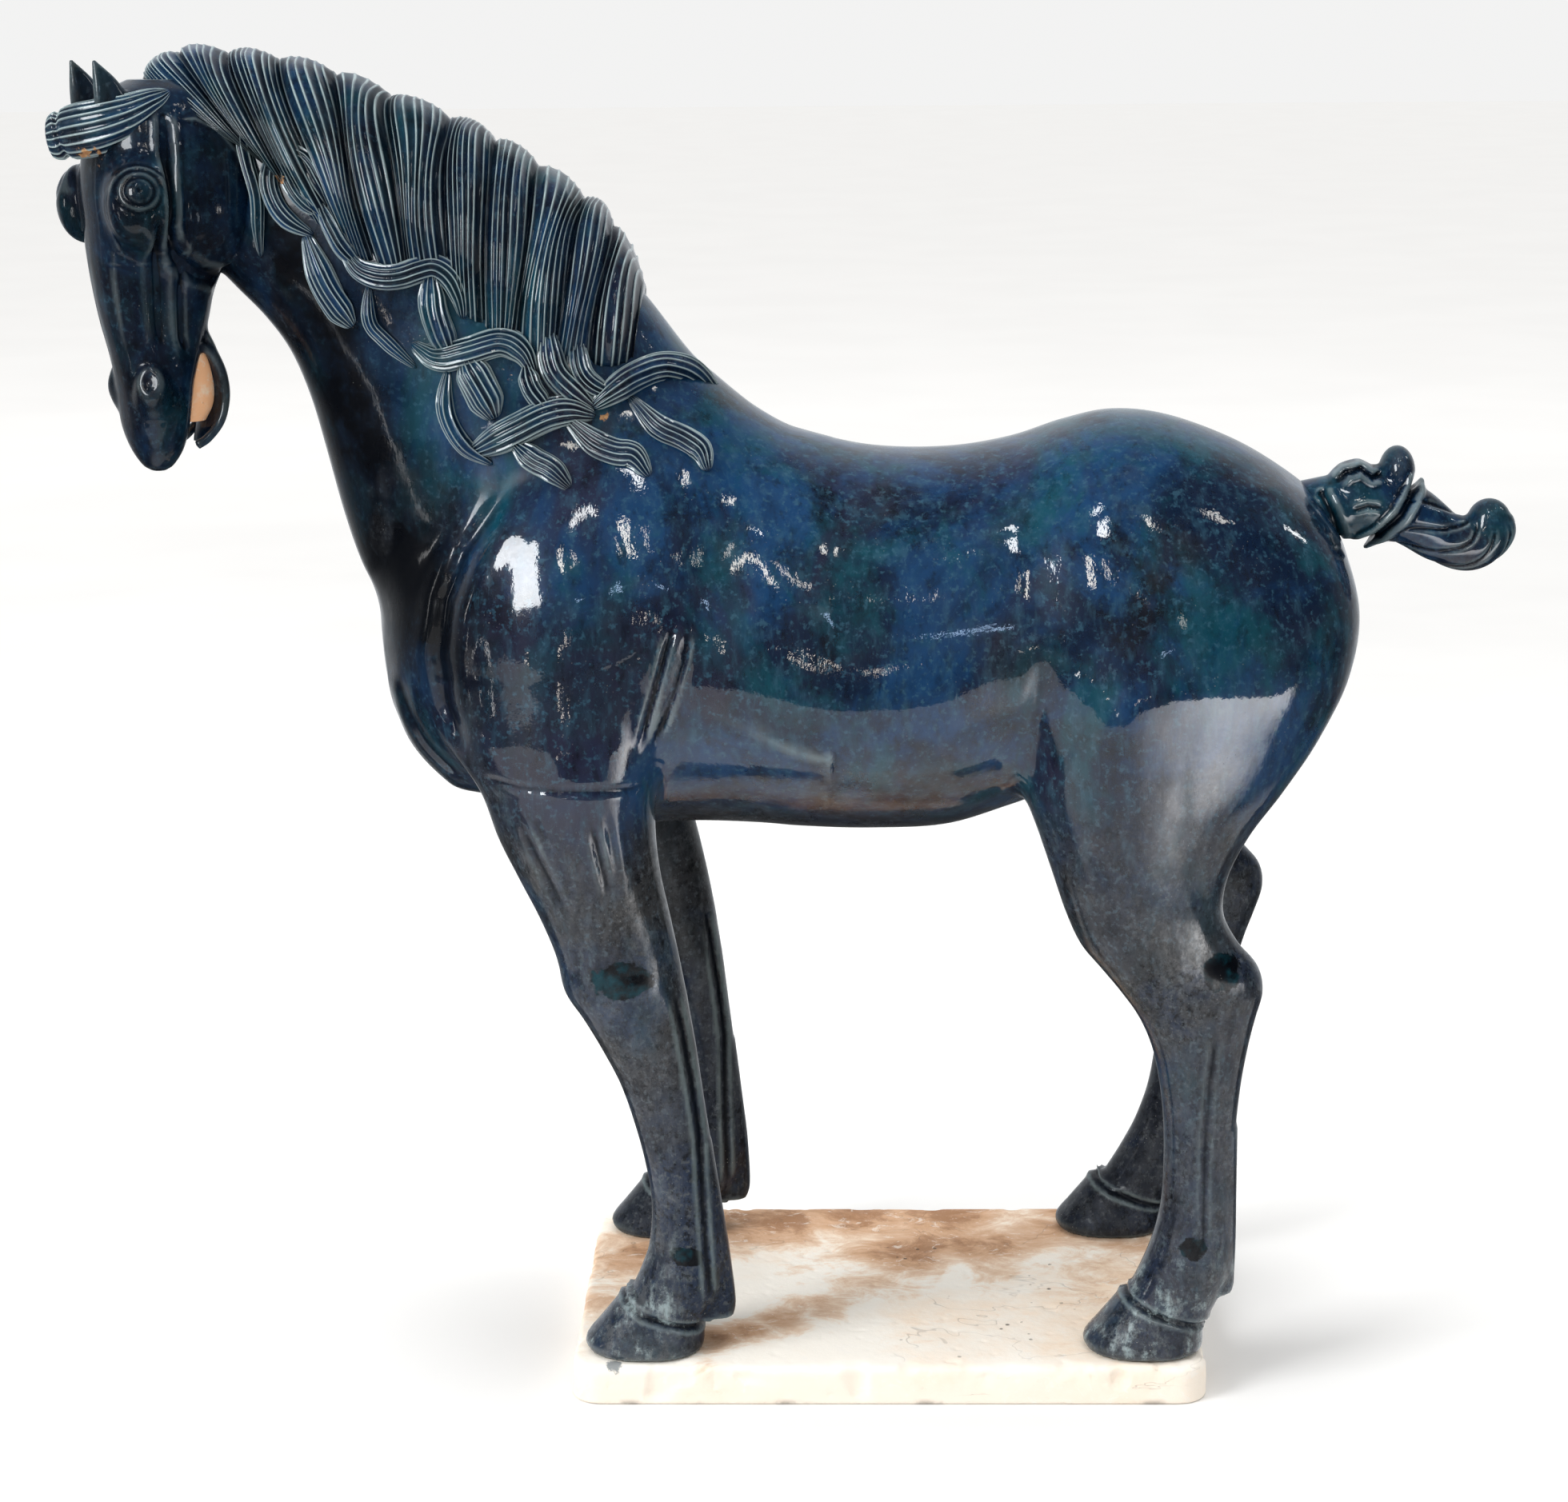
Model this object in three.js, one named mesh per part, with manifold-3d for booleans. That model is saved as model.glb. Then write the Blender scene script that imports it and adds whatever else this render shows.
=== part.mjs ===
// A standing glazed pottery horse on a flat rectangular plinth.
// Millimetres, Z up. The horse faces -X with its head turned towards -Y.
// The underside of the plinth is centred on the origin.
import * as THREE from "three";
import { mergeVertices } from "three/addons/utils/BufferGeometryUtils.js";
import Module from "manifold-3d";

const wasm = await Module();
wasm.setup();

// Sizes in millimetres.
const horseHeight = 666;
const plinthThickness = 21.5;
const plinthCornerRadius = 16;
const plinthEdgeRounding = 3.5;
const plinthToeMargin = 7;
const plinthHeelMargin = 1;
const plinthSideMargin = 3;
const seatGap = 0.3;

// The horse is drawn in its own units: its height from soles to mane top is figureHeight of them.
const figureHeight = 666;
const unit = horseHeight / figureHeight;

// Sizes of single features of the horse, in figure units.
const hoofSideways = 84;
const hoofHalfWidth = 25;
const hoofLength = 62;
const hoofToeReach = 20;
const tuftDepth = 22;
const tuftHalfWidth = 9;
const maneThickness = 9;
const maneRooting = 6;
const lobeHang = 4;
const lockThickness = 6;

// Turns a geometry into a manifold solid whose faces look outwards.
function solidOf(geometry) {
  const loose = geometry.index ? geometry.toNonIndexed() : geometry;
  const bare = new THREE.BufferGeometry().setAttribute("position", loose.getAttribute("position"));
  const merged = mergeVertices(bare, 1e-4);
  const points = merged.attributes.position.array;
  const corners = new Uint32Array(merged.index.array);
  const made = new wasm.Manifold(
    new wasm.Mesh({ numProp: 3, vertProperties: points, triVerts: corners }),
  );
  if (made.volume() > 0) return made;
  for (let i = 0; i < corners.length; i += 3) {
    [corners[i + 1], corners[i + 2]] = [corners[i + 2], corners[i + 1]];
  }
  return new wasm.Manifold(new wasm.Mesh({ numProp: 3, vertProperties: points, triVerts: corners }));
}

// Skins a list of rings, each a list of points, and closes both ends with a fan.
function skin(rings) {
  const sides = rings[0].length;
  const points = rings.flat();
  const ends = [rings[0], rings[rings.length - 1]].map((ring) =>
    ring.reduce((sum, p) => sum.add(p), new THREE.Vector3()).divideScalar(sides),
  );
  const firstHub = points.length;
  const lastHub = firstHub + 1;
  const lastRing = (rings.length - 1) * sides;
  const corners = [];
  for (let side = 0; side < sides; side += 1) {
    const next = (side + 1) % sides;
    for (let ring = 0; ring < rings.length - 1; ring += 1) {
      const here = ring * sides;
      const beyond = here + sides;
      corners.push(here + side, here + next, beyond + next);
      corners.push(here + side, beyond + next, beyond + side);
    }
    corners.push(firstHub, next, side);
    corners.push(lastHub, lastRing + side, lastRing + next);
  }
  return new THREE.BufferGeometry().setFromPoints([...points, ...ends]).setIndex(corners);
}

// A closed oval outline spanned by two half axes; squareness under 1 makes it boxier.
function oval(centre, reachA, reachB, sides, squareness) {
  const ring = [];
  for (let side = 0; side < sides; side += 1) {
    const turn = (side / sides) * 2 * Math.PI;
    const a = Math.sign(Math.cos(turn)) * Math.abs(Math.cos(turn)) ** squareness;
    const b = Math.sign(Math.sin(turn)) * Math.abs(Math.sin(turn)) ** squareness;
    ring.push(centre.clone().addScaledVector(reachA, a).addScaledVector(reachB, b));
  }
  return ring;
}

const smoothCurve = (points) => new THREE.CatmullRomCurve3(points, false, "catmullrom", 0.5);

// A body or limb skinned over cross-sections. Each row names a section by its two
// edges in the XZ plane (ax, az) and (bx, bz), its sideways place y and its half width.
function loft(rows, { sides, steps, squareness = 1 }) {
  const centres = smoothCurve(
    rows.map(([ax, az, bx, bz, y]) => new THREE.Vector3((ax + bx) / 2, y, (az + bz) / 2)),
  );
  const reaches = smoothCurve(
    rows.map(([ax, az, bx, bz, , half]) => new THREE.Vector3((bx - ax) / 2, half, (bz - az) / 2)),
  );
  const rings = [];
  for (let step = 0; step <= steps; step += 1) {
    const centre = centres.getPoint(step / steps);
    const reach = reaches.getPoint(step / steps);
    const across = new THREE.Vector3(0, reach.y, 0);
    rings.push(oval(centre, new THREE.Vector3(reach.x, 0, reach.z), across, sides, squareness));
  }
  return solidOf(skin(rings));
}

// A lock, ear or tail swept along rows of [x, y, z, half width, half thickness];
// wideAt gives the direction of the width from the direction of travel.
function strand(rows, wideAt, { sides, steps }) {
  const path = smoothCurve(rows.map(([x, y, z]) => new THREE.Vector3(x, y, z)));
  const size = smoothCurve(rows.map(([, , , half, thick]) => new THREE.Vector3(half, thick, 0)));
  const rings = [];
  for (let step = 0; step <= steps; step += 1) {
    const share = step / steps;
    const along = path.getTangent(share);
    const wide = wideAt(along).normalize();
    const thick = new THREE.Vector3().crossVectors(wide, along);
    const { x: halfWidth, y: halfThickness } = size.getPoint(share);
    wide.multiplyScalar(halfWidth);
    thick.multiplyScalar(halfThickness);
    rings.push(oval(path.getPoint(share), wide, thick, sides, 1));
  }
  return solidOf(skin(rings));
}

// The width follows a fixed direction as nearly as the travel allows.
const widthNear = (direction) => (along) =>
  direction.clone().addScaledVector(along, -direction.dot(along));
const upwards = new THREE.Vector3(0, 0, 1);
const forwards = new THREE.Vector3(1, 0, 0);
const sideways = new THREE.Vector3(0, 1, 0);
const towardsNearSide = new THREE.Vector3(0, -1, 0);

// The width lies square to the travel on a surface that faces outwards.
const widthOnFace = (outward) => (along) => new THREE.Vector3().crossVectors(along, outward);

// A swelling of the form: an ellipsoid at a place with three half sizes.
function swelling([x, y, z], [halfX, halfY, halfZ], sides) {
  const bands = Math.ceil(sides / 2) + 1;
  const ball = new THREE.SphereGeometry(1, sides, bands);
  ball.rotateX(Math.PI / 2);
  ball.scale(halfX, halfY, halfZ);
  ball.translate(x, y, z);
  return solidOf(ball);
}

const both = [-1, 1];
const joined = (solids) => solids.reduce((sum, solid) => sum.add(solid));

// Trunk, section by section from the chest to the rump: x, underside, back, half width.
const trunkSections = [
  [-254, 325, 372, 30],
  [-247, 306, 400, 50],
  [-233, 291, 425, 66],
  [-212, 280, 446, 78],
  [-180, 269, 468, 86],
  [-140, 263, 484, 90],
  [-100, 264, 490, 92],
  [-68, 263, 478, 92],
  [-43, 261, 469, 92],
  [-8, 260, 461, 92],
  [31, 262, 460, 92],
  [64, 272, 465, 91],
  [92, 282, 474, 91],
  [117, 287, 479, 90],
  [145, 291, 476, 88],
  [178, 298, 464, 82],
  [204, 306, 449, 72],
  [222, 316, 434, 59],
  [235, 334, 413, 42],
  [241, 356, 392, 22],
];

// Neck, from inside the chest up to the poll: throat edge, crest edge, sideways place, half width.
const neckSections = [
  [-225, 290, -45, 430, 0, 72],
  [-255, 340, -66, 466, 0, 74],
  [-262, 378, -86, 493, 0, 70],
  [-273, 404, -103, 513, 0, 65],
  [-281, 430, -122, 538, 0, 60],
  [-288, 460, -143, 562, -1, 55],
  [-295, 488, -168, 584, -2, 50],
  [-304, 512, -196, 603, -4, 46],
  [-316, 530, -228, 620, -6, 40],
  [-331, 546, -266, 634, -7, 35],
  [-345, 562, -306, 643, -8, 29],
  [-356, 582, -342, 646, -10, 24],
  [-362, 606, -360, 642, -12, 18],
];

// Foreleg from the shoulder to the fetlock: height, front, back, sideways place as a share
// of the hoof's, half width.
const forelegSections = [
  [350, -226, -108, 0.69, 34],
  [320, -220, -113, 0.768, 37],
  [296, -206, -118, 0.821, 37],
  [273, -198, -118, 0.857, 34],
  [252, -188, -115.5, 0.881, 30.5],
  [231, -177.5, -111, 0.905, 27.5],
  [209, -168.5, -106.5, 0.923, 25.5],
  [192, -163.5, -103.5, 0.935, 25],
  [178, -156, -101.5, 0.94, 23.5],
  [163, -147.5, -99, 0.952, 21],
  [144, -138, -96.5, 0.964, 18.5],
  [123, -131, -93.5, 0.976, 17],
  [101, -125.5, -90, 0.988, 16.5],
  [79, -122.5, -87, 0.994, 17],
  [57, -124, -84, 1, 19],
  [42, -129, -84, 1, 20.5],
  [28, -135, -88, 1, 21],
  [14, -138, -98, 1, 20],
];

// Hind leg from the haunch to the fetlock, in the same terms.
const hindlegSections = [
  [437, 130, 198, 0.33, 24],
  [418, 104, 219, 0.405, 38.5],
  [385, 88, 236, 0.524, 45],
  [350, 73, 233, 0.619, 46],
  [320, 68, 219, 0.69, 44],
  [294, 70, 201, 0.762, 41],
  [272, 77, 184, 0.81, 37],
  [251, 84, 173, 0.851, 32.5],
  [232, 90.5, 170.5, 0.881, 28],
  [216, 98, 178, 0.905, 25.5],
  [204, 108, 187.5, 0.923, 24],
  [192, 118, 190.5, 0.935, 22.5],
  [178, 128, 187.5, 0.946, 20.5],
  [162, 135, 184, 0.958, 18.5],
  [144, 139, 181, 0.97, 17.5],
  [123, 141.5, 179, 0.976, 17],
  [101, 142, 178.5, 0.988, 17],
  [79, 141, 178.5, 0.994, 17.5],
  [60, 137, 179, 1, 19],
  [44, 131, 178, 1, 20.5],
  [28, 124, 172, 1, 21],
  [14, 122, 165, 1, 20],
];

// How far the far legs stand behind the near ones, from the hoof up to the knee or hock.
const farForelegShift = { atHoof: 2, atJoint: 9, jointLift: 0 };
const farHindlegShift = { atHoof: -3, atJoint: 21, jointLift: 13 };
const noShift = { atHoof: 0, atJoint: 0, jointLift: 0 };
const hoofHeight = 20;
const jointHeight = 200;
const kneeTop = 240;
const bellyHeight = 360;
const shiftRise = 0.6;

function legShift(height, { atHoof, atJoint }) {
  const climb = THREE.MathUtils.clamp((height - hoofHeight) / (jointHeight - hoofHeight), 0, 1);
  const fade = 1 - THREE.MathUtils.smoothstep(height, kneeTop, bellyHeight);
  return THREE.MathUtils.lerp(atHoof, atJoint * fade, climb ** shiftRise);
}

function leg(sections, side, shift, steps) {
  const rows = sections.map(([height, front, back, sidewaysShare, half]) => {
    const push = legShift(height, shift);
    const lift = push > 0 ? (shift.jointLift * push) / shift.atJoint : 0;
    const raised = height + lift;
    return [front + push, raised, back + push, raised, side * sidewaysShare * hoofSideways, half];
  });
  return loft(rows, { sides: 11, steps });
}

// A hoof flares forward to the toe below a sloping coronet. Each row: how far it draws in
// from the toe, its height there, the same two at the heel, and how far it draws in sideways.
const hoofSections = [
  [1.5, 0, 1, 0, 1.5],
  [0, 5, 0, 4, 0],
  [7, 14, 0, 9, 1.5],
  [15, 24, 0.5, 13, 3],
  [21, 32, 2, 15, 6],
];

function hoof(toeX, side) {
  const heelX = toeX + hoofLength;
  const rows = hoofSections.map(([toeIn, toeHeight, heelIn, heelHeight, sideIn]) => [
    toeX + toeIn,
    toeHeight,
    heelX - heelIn,
    heelHeight,
    side * hoofSideways,
    hoofHalfWidth - sideIn,
  ]);
  return loft(rows, { sides: 11, steps: 4, squareness: 0.9 });
}

// The tendon and heel tuft run down the back of the cannon and end in a flat cut.
// Rows of height and back.
const foreTuftSections = [
  [112, -91.5],
  [79, -86.5],
  [50, -82],
  [26, -79.5],
  [17, -80.5],
];
const hindTuftSections = [
  [120, 179],
  [79, 179.5],
  [50, 179.5],
  [36, 179.5],
  [30, 178.5],
];

function heelTuft(sections, side, shift) {
  const rows = sections.map(([height, back]) => {
    const backX = back + legShift(height, shift);
    return [backX - tuftDepth, height, backX, height, side * hoofSideways, tuftHalfWidth];
  });
  return loft(rows, { sides: 8, steps: 5, squareness: 0.8 });
}

const pasternFront = (sections) => sections[sections.length - 1][1];
const foreToeX = pasternFront(forelegSections) - hoofToeReach;
const hindToeX = pasternFront(hindlegSections) - hoofToeReach;
const hindHeelX = hindToeX + hoofLength;

function legs() {
  const parts = [];
  for (const side of both) {
    const fore = side > 0 ? farForelegShift : noShift;
    const hind = side > 0 ? farHindlegShift : noShift;
    parts.push(leg(forelegSections, side, fore, 15));
    parts.push(leg(hindlegSections, side, hind, 17));
    parts.push(heelTuft(foreTuftSections, side, fore));
    parts.push(heelTuft(hindTuftSections, side, hind));
    parts.push(hoof(foreToeX + fore.atHoof, side));
    parts.push(hoof(hindToeX + hind.atHoof, side));
  }
  return joined(parts);
}

// The head is drawn facing -X with its middle on the Z axis, then turned and moved.
// Its rows give the edge of the face, the edge of the jaw and the half width.
const headTurn = THREE.MathUtils.degToRad(38);
const headX = -361.5;
const headY = -20;

const skullSections = [
  [-16, 649, 12, 649, 0, 13],
  [-30, 642, 28, 642, 0, 24],
  [-37, 630, 38, 630, 0, 30],
  [-40, 615, 43, 615, 0, 33],
  [-41, 598, 43, 598, 0, 34],
  [-41, 580, 38, 580, 0, 32],
  [-40.5, 562, 29, 562, 0, 26.5],
  [-39, 545, 21, 545, 0, 22],
  [-36.5, 530, 17, 530, 0, 20],
  [-33, 515, 12, 515, 0, 19],
  [-30.5, 500, 7, 500, 0, 19.5],
  [-29, 488, 4.5, 488, 0, 20],
  [-27.5, 476, 2.5, 476, 0, 18.5],
  [-24, 465, -0.5, 465, 0, 14.5],
  [-19.5, 457, -5, 457, 0, 8.5],
  [-15.5, 454, -9, 454, 0, 4],
];
const jawSections = [
  [0, 552, 18, 552, 0, 14],
  [4, 530, 15, 530, 0, 13],
  [10, 516, 20, 516, 0, 13],
  [15, 503, 25.5, 503, 0, 13],
  [17, 492, 26.5, 492, 0, 12.5],
  [15, 482, 24, 482, 0, 11.5],
  [11.5, 474, 20, 474, 0, 9],
  [9, 467, 14, 467, 0, 5],
];
const tongueSections = [
  [-5, 530, 14, 530, 0, 9],
  [-5, 505, 20, 505, 0, 9],
  [-5, 488, 20, 488, 0, 9],
  [-3, 478, 15, 478, 0, 6],
];

const browPlace = [-30, 30, 588];
const browSize = [15, 14.5, 20];
const foreheadPlace = [-20, 0, 594];
const foreheadSize = [19, 37, 22];
const cheekPlace = [14, 23, 594];
const cheekSize = [36, 14, 42];
const nostrilPlace = [-20, 15, 496];
const nostrilSize = [9.5, 9, 13];
const earRows = [
  [-28, 13, 618, 8, 6],
  [-32, 14, 634, 8.5, 5],
  [-37, 13.5, 647, 6, 3.5],
  [-42, 13, 659, 0.8, 0.8],
];
const forelockRows = [
  [3, -28, 643, 4, 4],
  [-12, -24, 638, 8, 8],
  [-28, -14, 632, 12.5, 10],
  [-43, -3, 627, 15, 11],
  [-52, 4, 625, 13, 10],
  [-59, 9, 622, 11, 8],
];

const onSide = ([x, y, z, ...rest], side) => [x, side * y, z, ...rest];

function head() {
  const parts = [
    loft(skullSections, { sides: 16, steps: 15, squareness: 0.78 }),
    loft(jawSections, { sides: 10, steps: 8 }),
    loft(tongueSections, { sides: 8, steps: 4 }),
    swelling(foreheadPlace, foreheadSize, 12),
    strand(forelockRows, widthNear(upwards), { sides: 10, steps: 9 }),
  ];
  for (const side of both) {
    const ear = earRows.map((row) => onSide(row, side));
    parts.push(swelling(onSide(browPlace, side), browSize, 10));
    parts.push(swelling(onSide(cheekPlace, side), cheekSize, 12));
    parts.push(swelling(onSide(nostrilPlace, side), nostrilSize, 8));
    parts.push(strand(ear, widthNear(forwards), { sides: 7, steps: 4 }));
  }
  return joined(parts)
    .rotate([0, 0, THREE.MathUtils.radToDeg(headTurn)])
    .translate([headX, headY, 0]);
}

const shoulderPlace = [-168, 42, 372];
const shoulderSize = [66, 56, 88];

function trunk() {
  const rows = trunkSections.map(([x, under, back, half]) => [x, under, x, back, 0, half]);
  return joined([
    loft(rows, { sides: 20, steps: 18 }),
    ...both.map((side) => swelling(onSide(shoulderPlace, side), shoulderSize, 14)),
  ]);
}

// The tail is tied up and twisted: a shaft with two turns of hair standing on it.
const tailRows = [
  [214, 0, 424, 17, 17],
  [234, 0, 428, 18, 17],
  [252, 0, 429, 20, 19],
  [270, -2, 424, 18, 16],
  [287, -3, 413, 15, 14],
  [302, -4, 409, 14, 14],
  [314, -4, 416, 12, 12],
  [317, -4, 425, 6, 7],
];
const tailTurns = [
  { place: [242, -4, 441], size: [12, 13, 11] },
  { place: [263, -3, 447], size: [7, 12, 13] },
];

function tail() {
  return joined([
    strand(tailRows, widthNear(sideways), { sides: 10, steps: 12 }),
    ...tailTurns.map(({ place, size }) => swelling(place, size, 8)),
  ]);
}

const trunkSolid = trunk();
const neckSolid = loft(neckSections, { sides: 20, steps: 12 });
const hairGround = new THREE.Mesh(geometryOf(trunkSolid.add(neckSolid)));

const probe = new THREE.Raycaster();

// How far sideways the neck and shoulder reach at a point seen from the side.
function sideOfNeck(x, z, side) {
  probe.set(new THREE.Vector3(x, side * figureHeight, z), new THREE.Vector3(0, -side, 0));
  return probe.intersectObject(hairGround)[0].point.y;
}

// The mane falls in lobes over the crest. Each row is a notch between two lobes:
// its place on the crest (x, z) and where its lower end lies on the near side (x, z).
const maneNotches = [
  [-379, 652, -318, 615],
  [-359, 666, -306, 606],
  [-333, 666, -292, 590],
  [-307, 663, -271, 573],
  [-278, 656, -254, 562],
  [-250, 645, -237, 558],
  [-220, 634, -217, 546],
  [-197, 623, -200, 531],
  [-175, 610, -183, 521],
  [-152, 594, -165, 515],
  [-137, 580, -149, 512],
  [-122, 550, -127, 511],
];
// How far down inside the neck the sheet of hair is filled, as a share of its fall.
const maneCore = 0.55;
const lobeShares = [0, 0.16, 0.5, 0.84];
// How far down each side the sheet of hair is followed: 1 is the lower end on the near side.
const maneWays = [-0.7, -0.4, -0.15, 0.1, 0.35, 0.6, 0.85, 1];
// The hair is thinner in the notches between lobes and along its lower edges.
const notchThinness = 0.35;
const edgeThinness = 0.55;
const lobeRoundness = 0.6;

function maneSheet() {
  const crestCurve = smoothCurve(maneNotches.map(([x, z]) => new THREE.Vector3(x, 0, z)));
  const lowerCurve = smoothCurve(maneNotches.map(([, , x, z]) => new THREE.Vector3(x, 0, z)));
  const lobes = maneNotches.length - 1;
  const places = [];
  for (let lobe = 0; lobe < lobes; lobe += 1) {
    places.push(...lobeShares.map((share) => lobe + share));
  }
  places.push(lobes);
  const firstWay = maneWays[0];
  const lastWay = maneWays[maneWays.length - 1];
  const rings = places.map((place) => {
    const fullness = Math.sin(Math.PI * (place % 1)) ** lobeRoundness;
    const crest = crestCurve.getPoint(place / lobes);
    const lower = lowerCurve.getPoint(place / lobes);
    const near = -sideOfNeck(lower.x, lower.z, -1);
    const far = sideOfNeck(lower.x, lower.z, 1);
    const middle = (far - near) / 2;
    const reach = (near + far) / 2;
    const down = lower.clone().sub(crest);
    const fall = down.length() - maneThickness + lobeHang * fullness;
    down.normalize();
    const pointAt = (way, height) => {
      const bend = (way * Math.PI) / 2;
      const drop = maneThickness + fall * (1 - Math.cos(bend)) - height * Math.cos(bend);
      const across = middle * Math.abs(Math.sin(bend)) - (reach + height) * Math.sin(bend);
      return crest.clone().addScaledVector(down, drop).addScaledVector(sideways, across);
    };
    const height = maneThickness * THREE.MathUtils.lerp(notchThinness, 1, fullness);
    const outside = maneWays.map((way) => {
      const atEdge = way === firstWay || way === lastWay;
      return pointAt(way, atEdge ? height * edgeThinness : height);
    });
    const core = crest.clone().addScaledVector(down, fall * maneCore).addScaledVector(sideways, middle);
    return [...outside, pointAt(lastWay, -maneRooting), core, pointAt(firstWay, -maneRooting)];
  });
  return solidOf(skin(rings));
}

// Loose locks lie on the near side under the mane. Each is a half width and its places
// (x, z) from root to tip; a third number fixes the sideways place where the neck is steep.
const looseLocks = [
  [6, [-261, 558], [-248, 551], [-232, 559], [-219, 559], [-211, 539]],
  [9, [-233, 551], [-223, 539], [-213, 527]],
  [7.5, [-236, 521], [-216, 516], [-193, 523], [-176, 516], [-170, 495]],
  [11, [-216, 508], [-206, 498], [-196, 488]],
  [8, [-217, 475], [-200, 477], [-178, 484], [-161, 490], [-145, 485]],
  [7, [-183, 469], [-170, 460], [-157, 451]],
  [8, [-160, 478], [-148, 469], [-132, 465], [-117, 457]],
  [8.5, [-147, 491], [-132, 503, -46], [-113, 508, -29], [-97, 501, -15], [-84, 487, -7]],
  [8, [-129, 489], [-112, 477], [-95, 468], [-88, 459]],
  [6, [-161, 518], [-158, 503], [-147, 491]],
  [6, [-313, 624], [-307, 600], [-298, 578], [-284, 570], [-266, 562]],
  [6, [-300, 612], [-285, 605], [-274, 592], [-270, 578]],
  [9, [-286, 566], [-276, 548], [-266, 530]],
];
const lockTaper = 0.55;

function looseLock([half, ...places]) {
  const rows = places.map(([x, z, y = sideOfNeck(x, z, -1)], index) => {
    const taper = index === 0 || index === places.length - 1 ? lockTaper : 1;
    return [x, y, z, half * taper, lockThickness * taper];
  });
  return strand(rows, widthOnFace(towardsNearSide), { sides: 6, steps: 6 });
}

const maneSolid = joined([maneSheet(), ...looseLocks.map(looseLock)]);
const horseSolid = joined([trunkSolid, neckSolid, legs(), head(), tail(), maneSolid]);

// The plinth reaches from the toes to the heels and from hoof to hoof.
const plinthStart = foreToeX * unit - plinthToeMargin;
const plinthEnd = hindHeelX * unit + plinthHeelMargin;
const plinthLength = plinthEnd - plinthStart;
const plinthWidth = 2 * ((hoofSideways + hoofHalfWidth) * unit + plinthSideMargin);
const plinthMiddle = (plinthStart + plinthEnd) / 2;

function plinth() {
  const halfLength = plinthLength / 2 - plinthEdgeRounding;
  const halfWidth = plinthWidth / 2 - plinthEdgeRounding;
  const corner = plinthCornerRadius - plinthEdgeRounding;
  const outline = new THREE.Shape();
  outline.moveTo(-halfLength + corner, -halfWidth);
  outline.lineTo(halfLength - corner, -halfWidth);
  outline.absarc(halfLength - corner, -halfWidth + corner, corner, -Math.PI / 2, 0);
  outline.lineTo(halfLength, halfWidth - corner);
  outline.absarc(halfLength - corner, halfWidth - corner, corner, 0, Math.PI / 2);
  outline.lineTo(-halfLength + corner, halfWidth);
  outline.absarc(-halfLength + corner, halfWidth - corner, corner, Math.PI / 2, Math.PI);
  outline.lineTo(-halfLength, -halfWidth + corner);
  outline.absarc(-halfLength + corner, -halfWidth + corner, corner, Math.PI, 1.5 * Math.PI);
  const slab = new THREE.ExtrudeGeometry(outline, {
    depth: plinthThickness - 2 * plinthEdgeRounding,
    bevelSize: plinthEdgeRounding,
    bevelThickness: plinthEdgeRounding,
    bevelSegments: 1,
    curveSegments: 4,
  });
  slab.translate(0, 0, plinthEdgeRounding);
  return solidOf(slab);
}

function geometryOf(solid) {
  const shell = solid.getMesh();
  const geometry = new THREE.BufferGeometry();
  geometry.setAttribute("position", new THREE.BufferAttribute(shell.vertProperties, shell.numProp));
  geometry.setIndex(new THREE.BufferAttribute(shell.triVerts, 1));
  geometry.computeVertexNormals();
  return geometry;
}

function meshOf(name, solid, material) {
  const mesh = new THREE.Mesh(geometryOf(solid), material);
  mesh.name = name;
  return mesh;
}

const glaze = new THREE.MeshStandardMaterial({ color: 0x12263a, roughness: 0.12, metalness: 0 });
const clay = new THREE.MeshStandardMaterial({ color: 0xe3c9ad, roughness: 0.85, metalness: 0 });

const placedHorse = horseSolid
  .scale([unit, unit, unit])
  .translate([-plinthMiddle, 0, plinthThickness + seatGap]);

const object = new THREE.Group();
object.add(meshOf("horse", placedHorse, glaze));
object.add(meshOf("plinth", plinth(), clay));

export default object;
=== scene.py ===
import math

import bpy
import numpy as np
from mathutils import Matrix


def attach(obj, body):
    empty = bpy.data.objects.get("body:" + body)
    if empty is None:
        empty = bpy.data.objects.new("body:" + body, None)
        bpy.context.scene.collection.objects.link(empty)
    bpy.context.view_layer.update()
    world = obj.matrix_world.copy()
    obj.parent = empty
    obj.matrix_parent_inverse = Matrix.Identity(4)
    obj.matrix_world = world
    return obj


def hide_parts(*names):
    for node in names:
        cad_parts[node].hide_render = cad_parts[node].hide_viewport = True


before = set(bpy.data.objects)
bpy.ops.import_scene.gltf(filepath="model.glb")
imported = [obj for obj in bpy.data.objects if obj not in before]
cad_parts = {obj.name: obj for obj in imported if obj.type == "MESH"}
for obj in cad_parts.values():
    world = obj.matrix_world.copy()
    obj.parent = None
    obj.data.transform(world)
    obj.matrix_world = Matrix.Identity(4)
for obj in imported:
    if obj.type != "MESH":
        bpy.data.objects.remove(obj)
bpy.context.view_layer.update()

# A glazed pottery horse on an unglazed plinth.
# The forms are worked out in millimetres in the horse's own frame (soles at height 0),
# blended as distance fields, meshed, and placed in metres in the row frame.

import openvdb
from mathutils import Matrix, Vector

MM = 0.001
SOLE_HEIGHT = 21.8
PLINTH_TOP = 21.5
FLOOR_GLOW = 0.36
WALL_LOW, WALL_HIGH = 0.895, 0.88
WORLD_SOFT = 0.62
MIRRORED_WALL = 0.64
KEY_POWER = 84
TOP_POWER = 60
rng = np.random.default_rng(1924)


# Shapes


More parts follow.
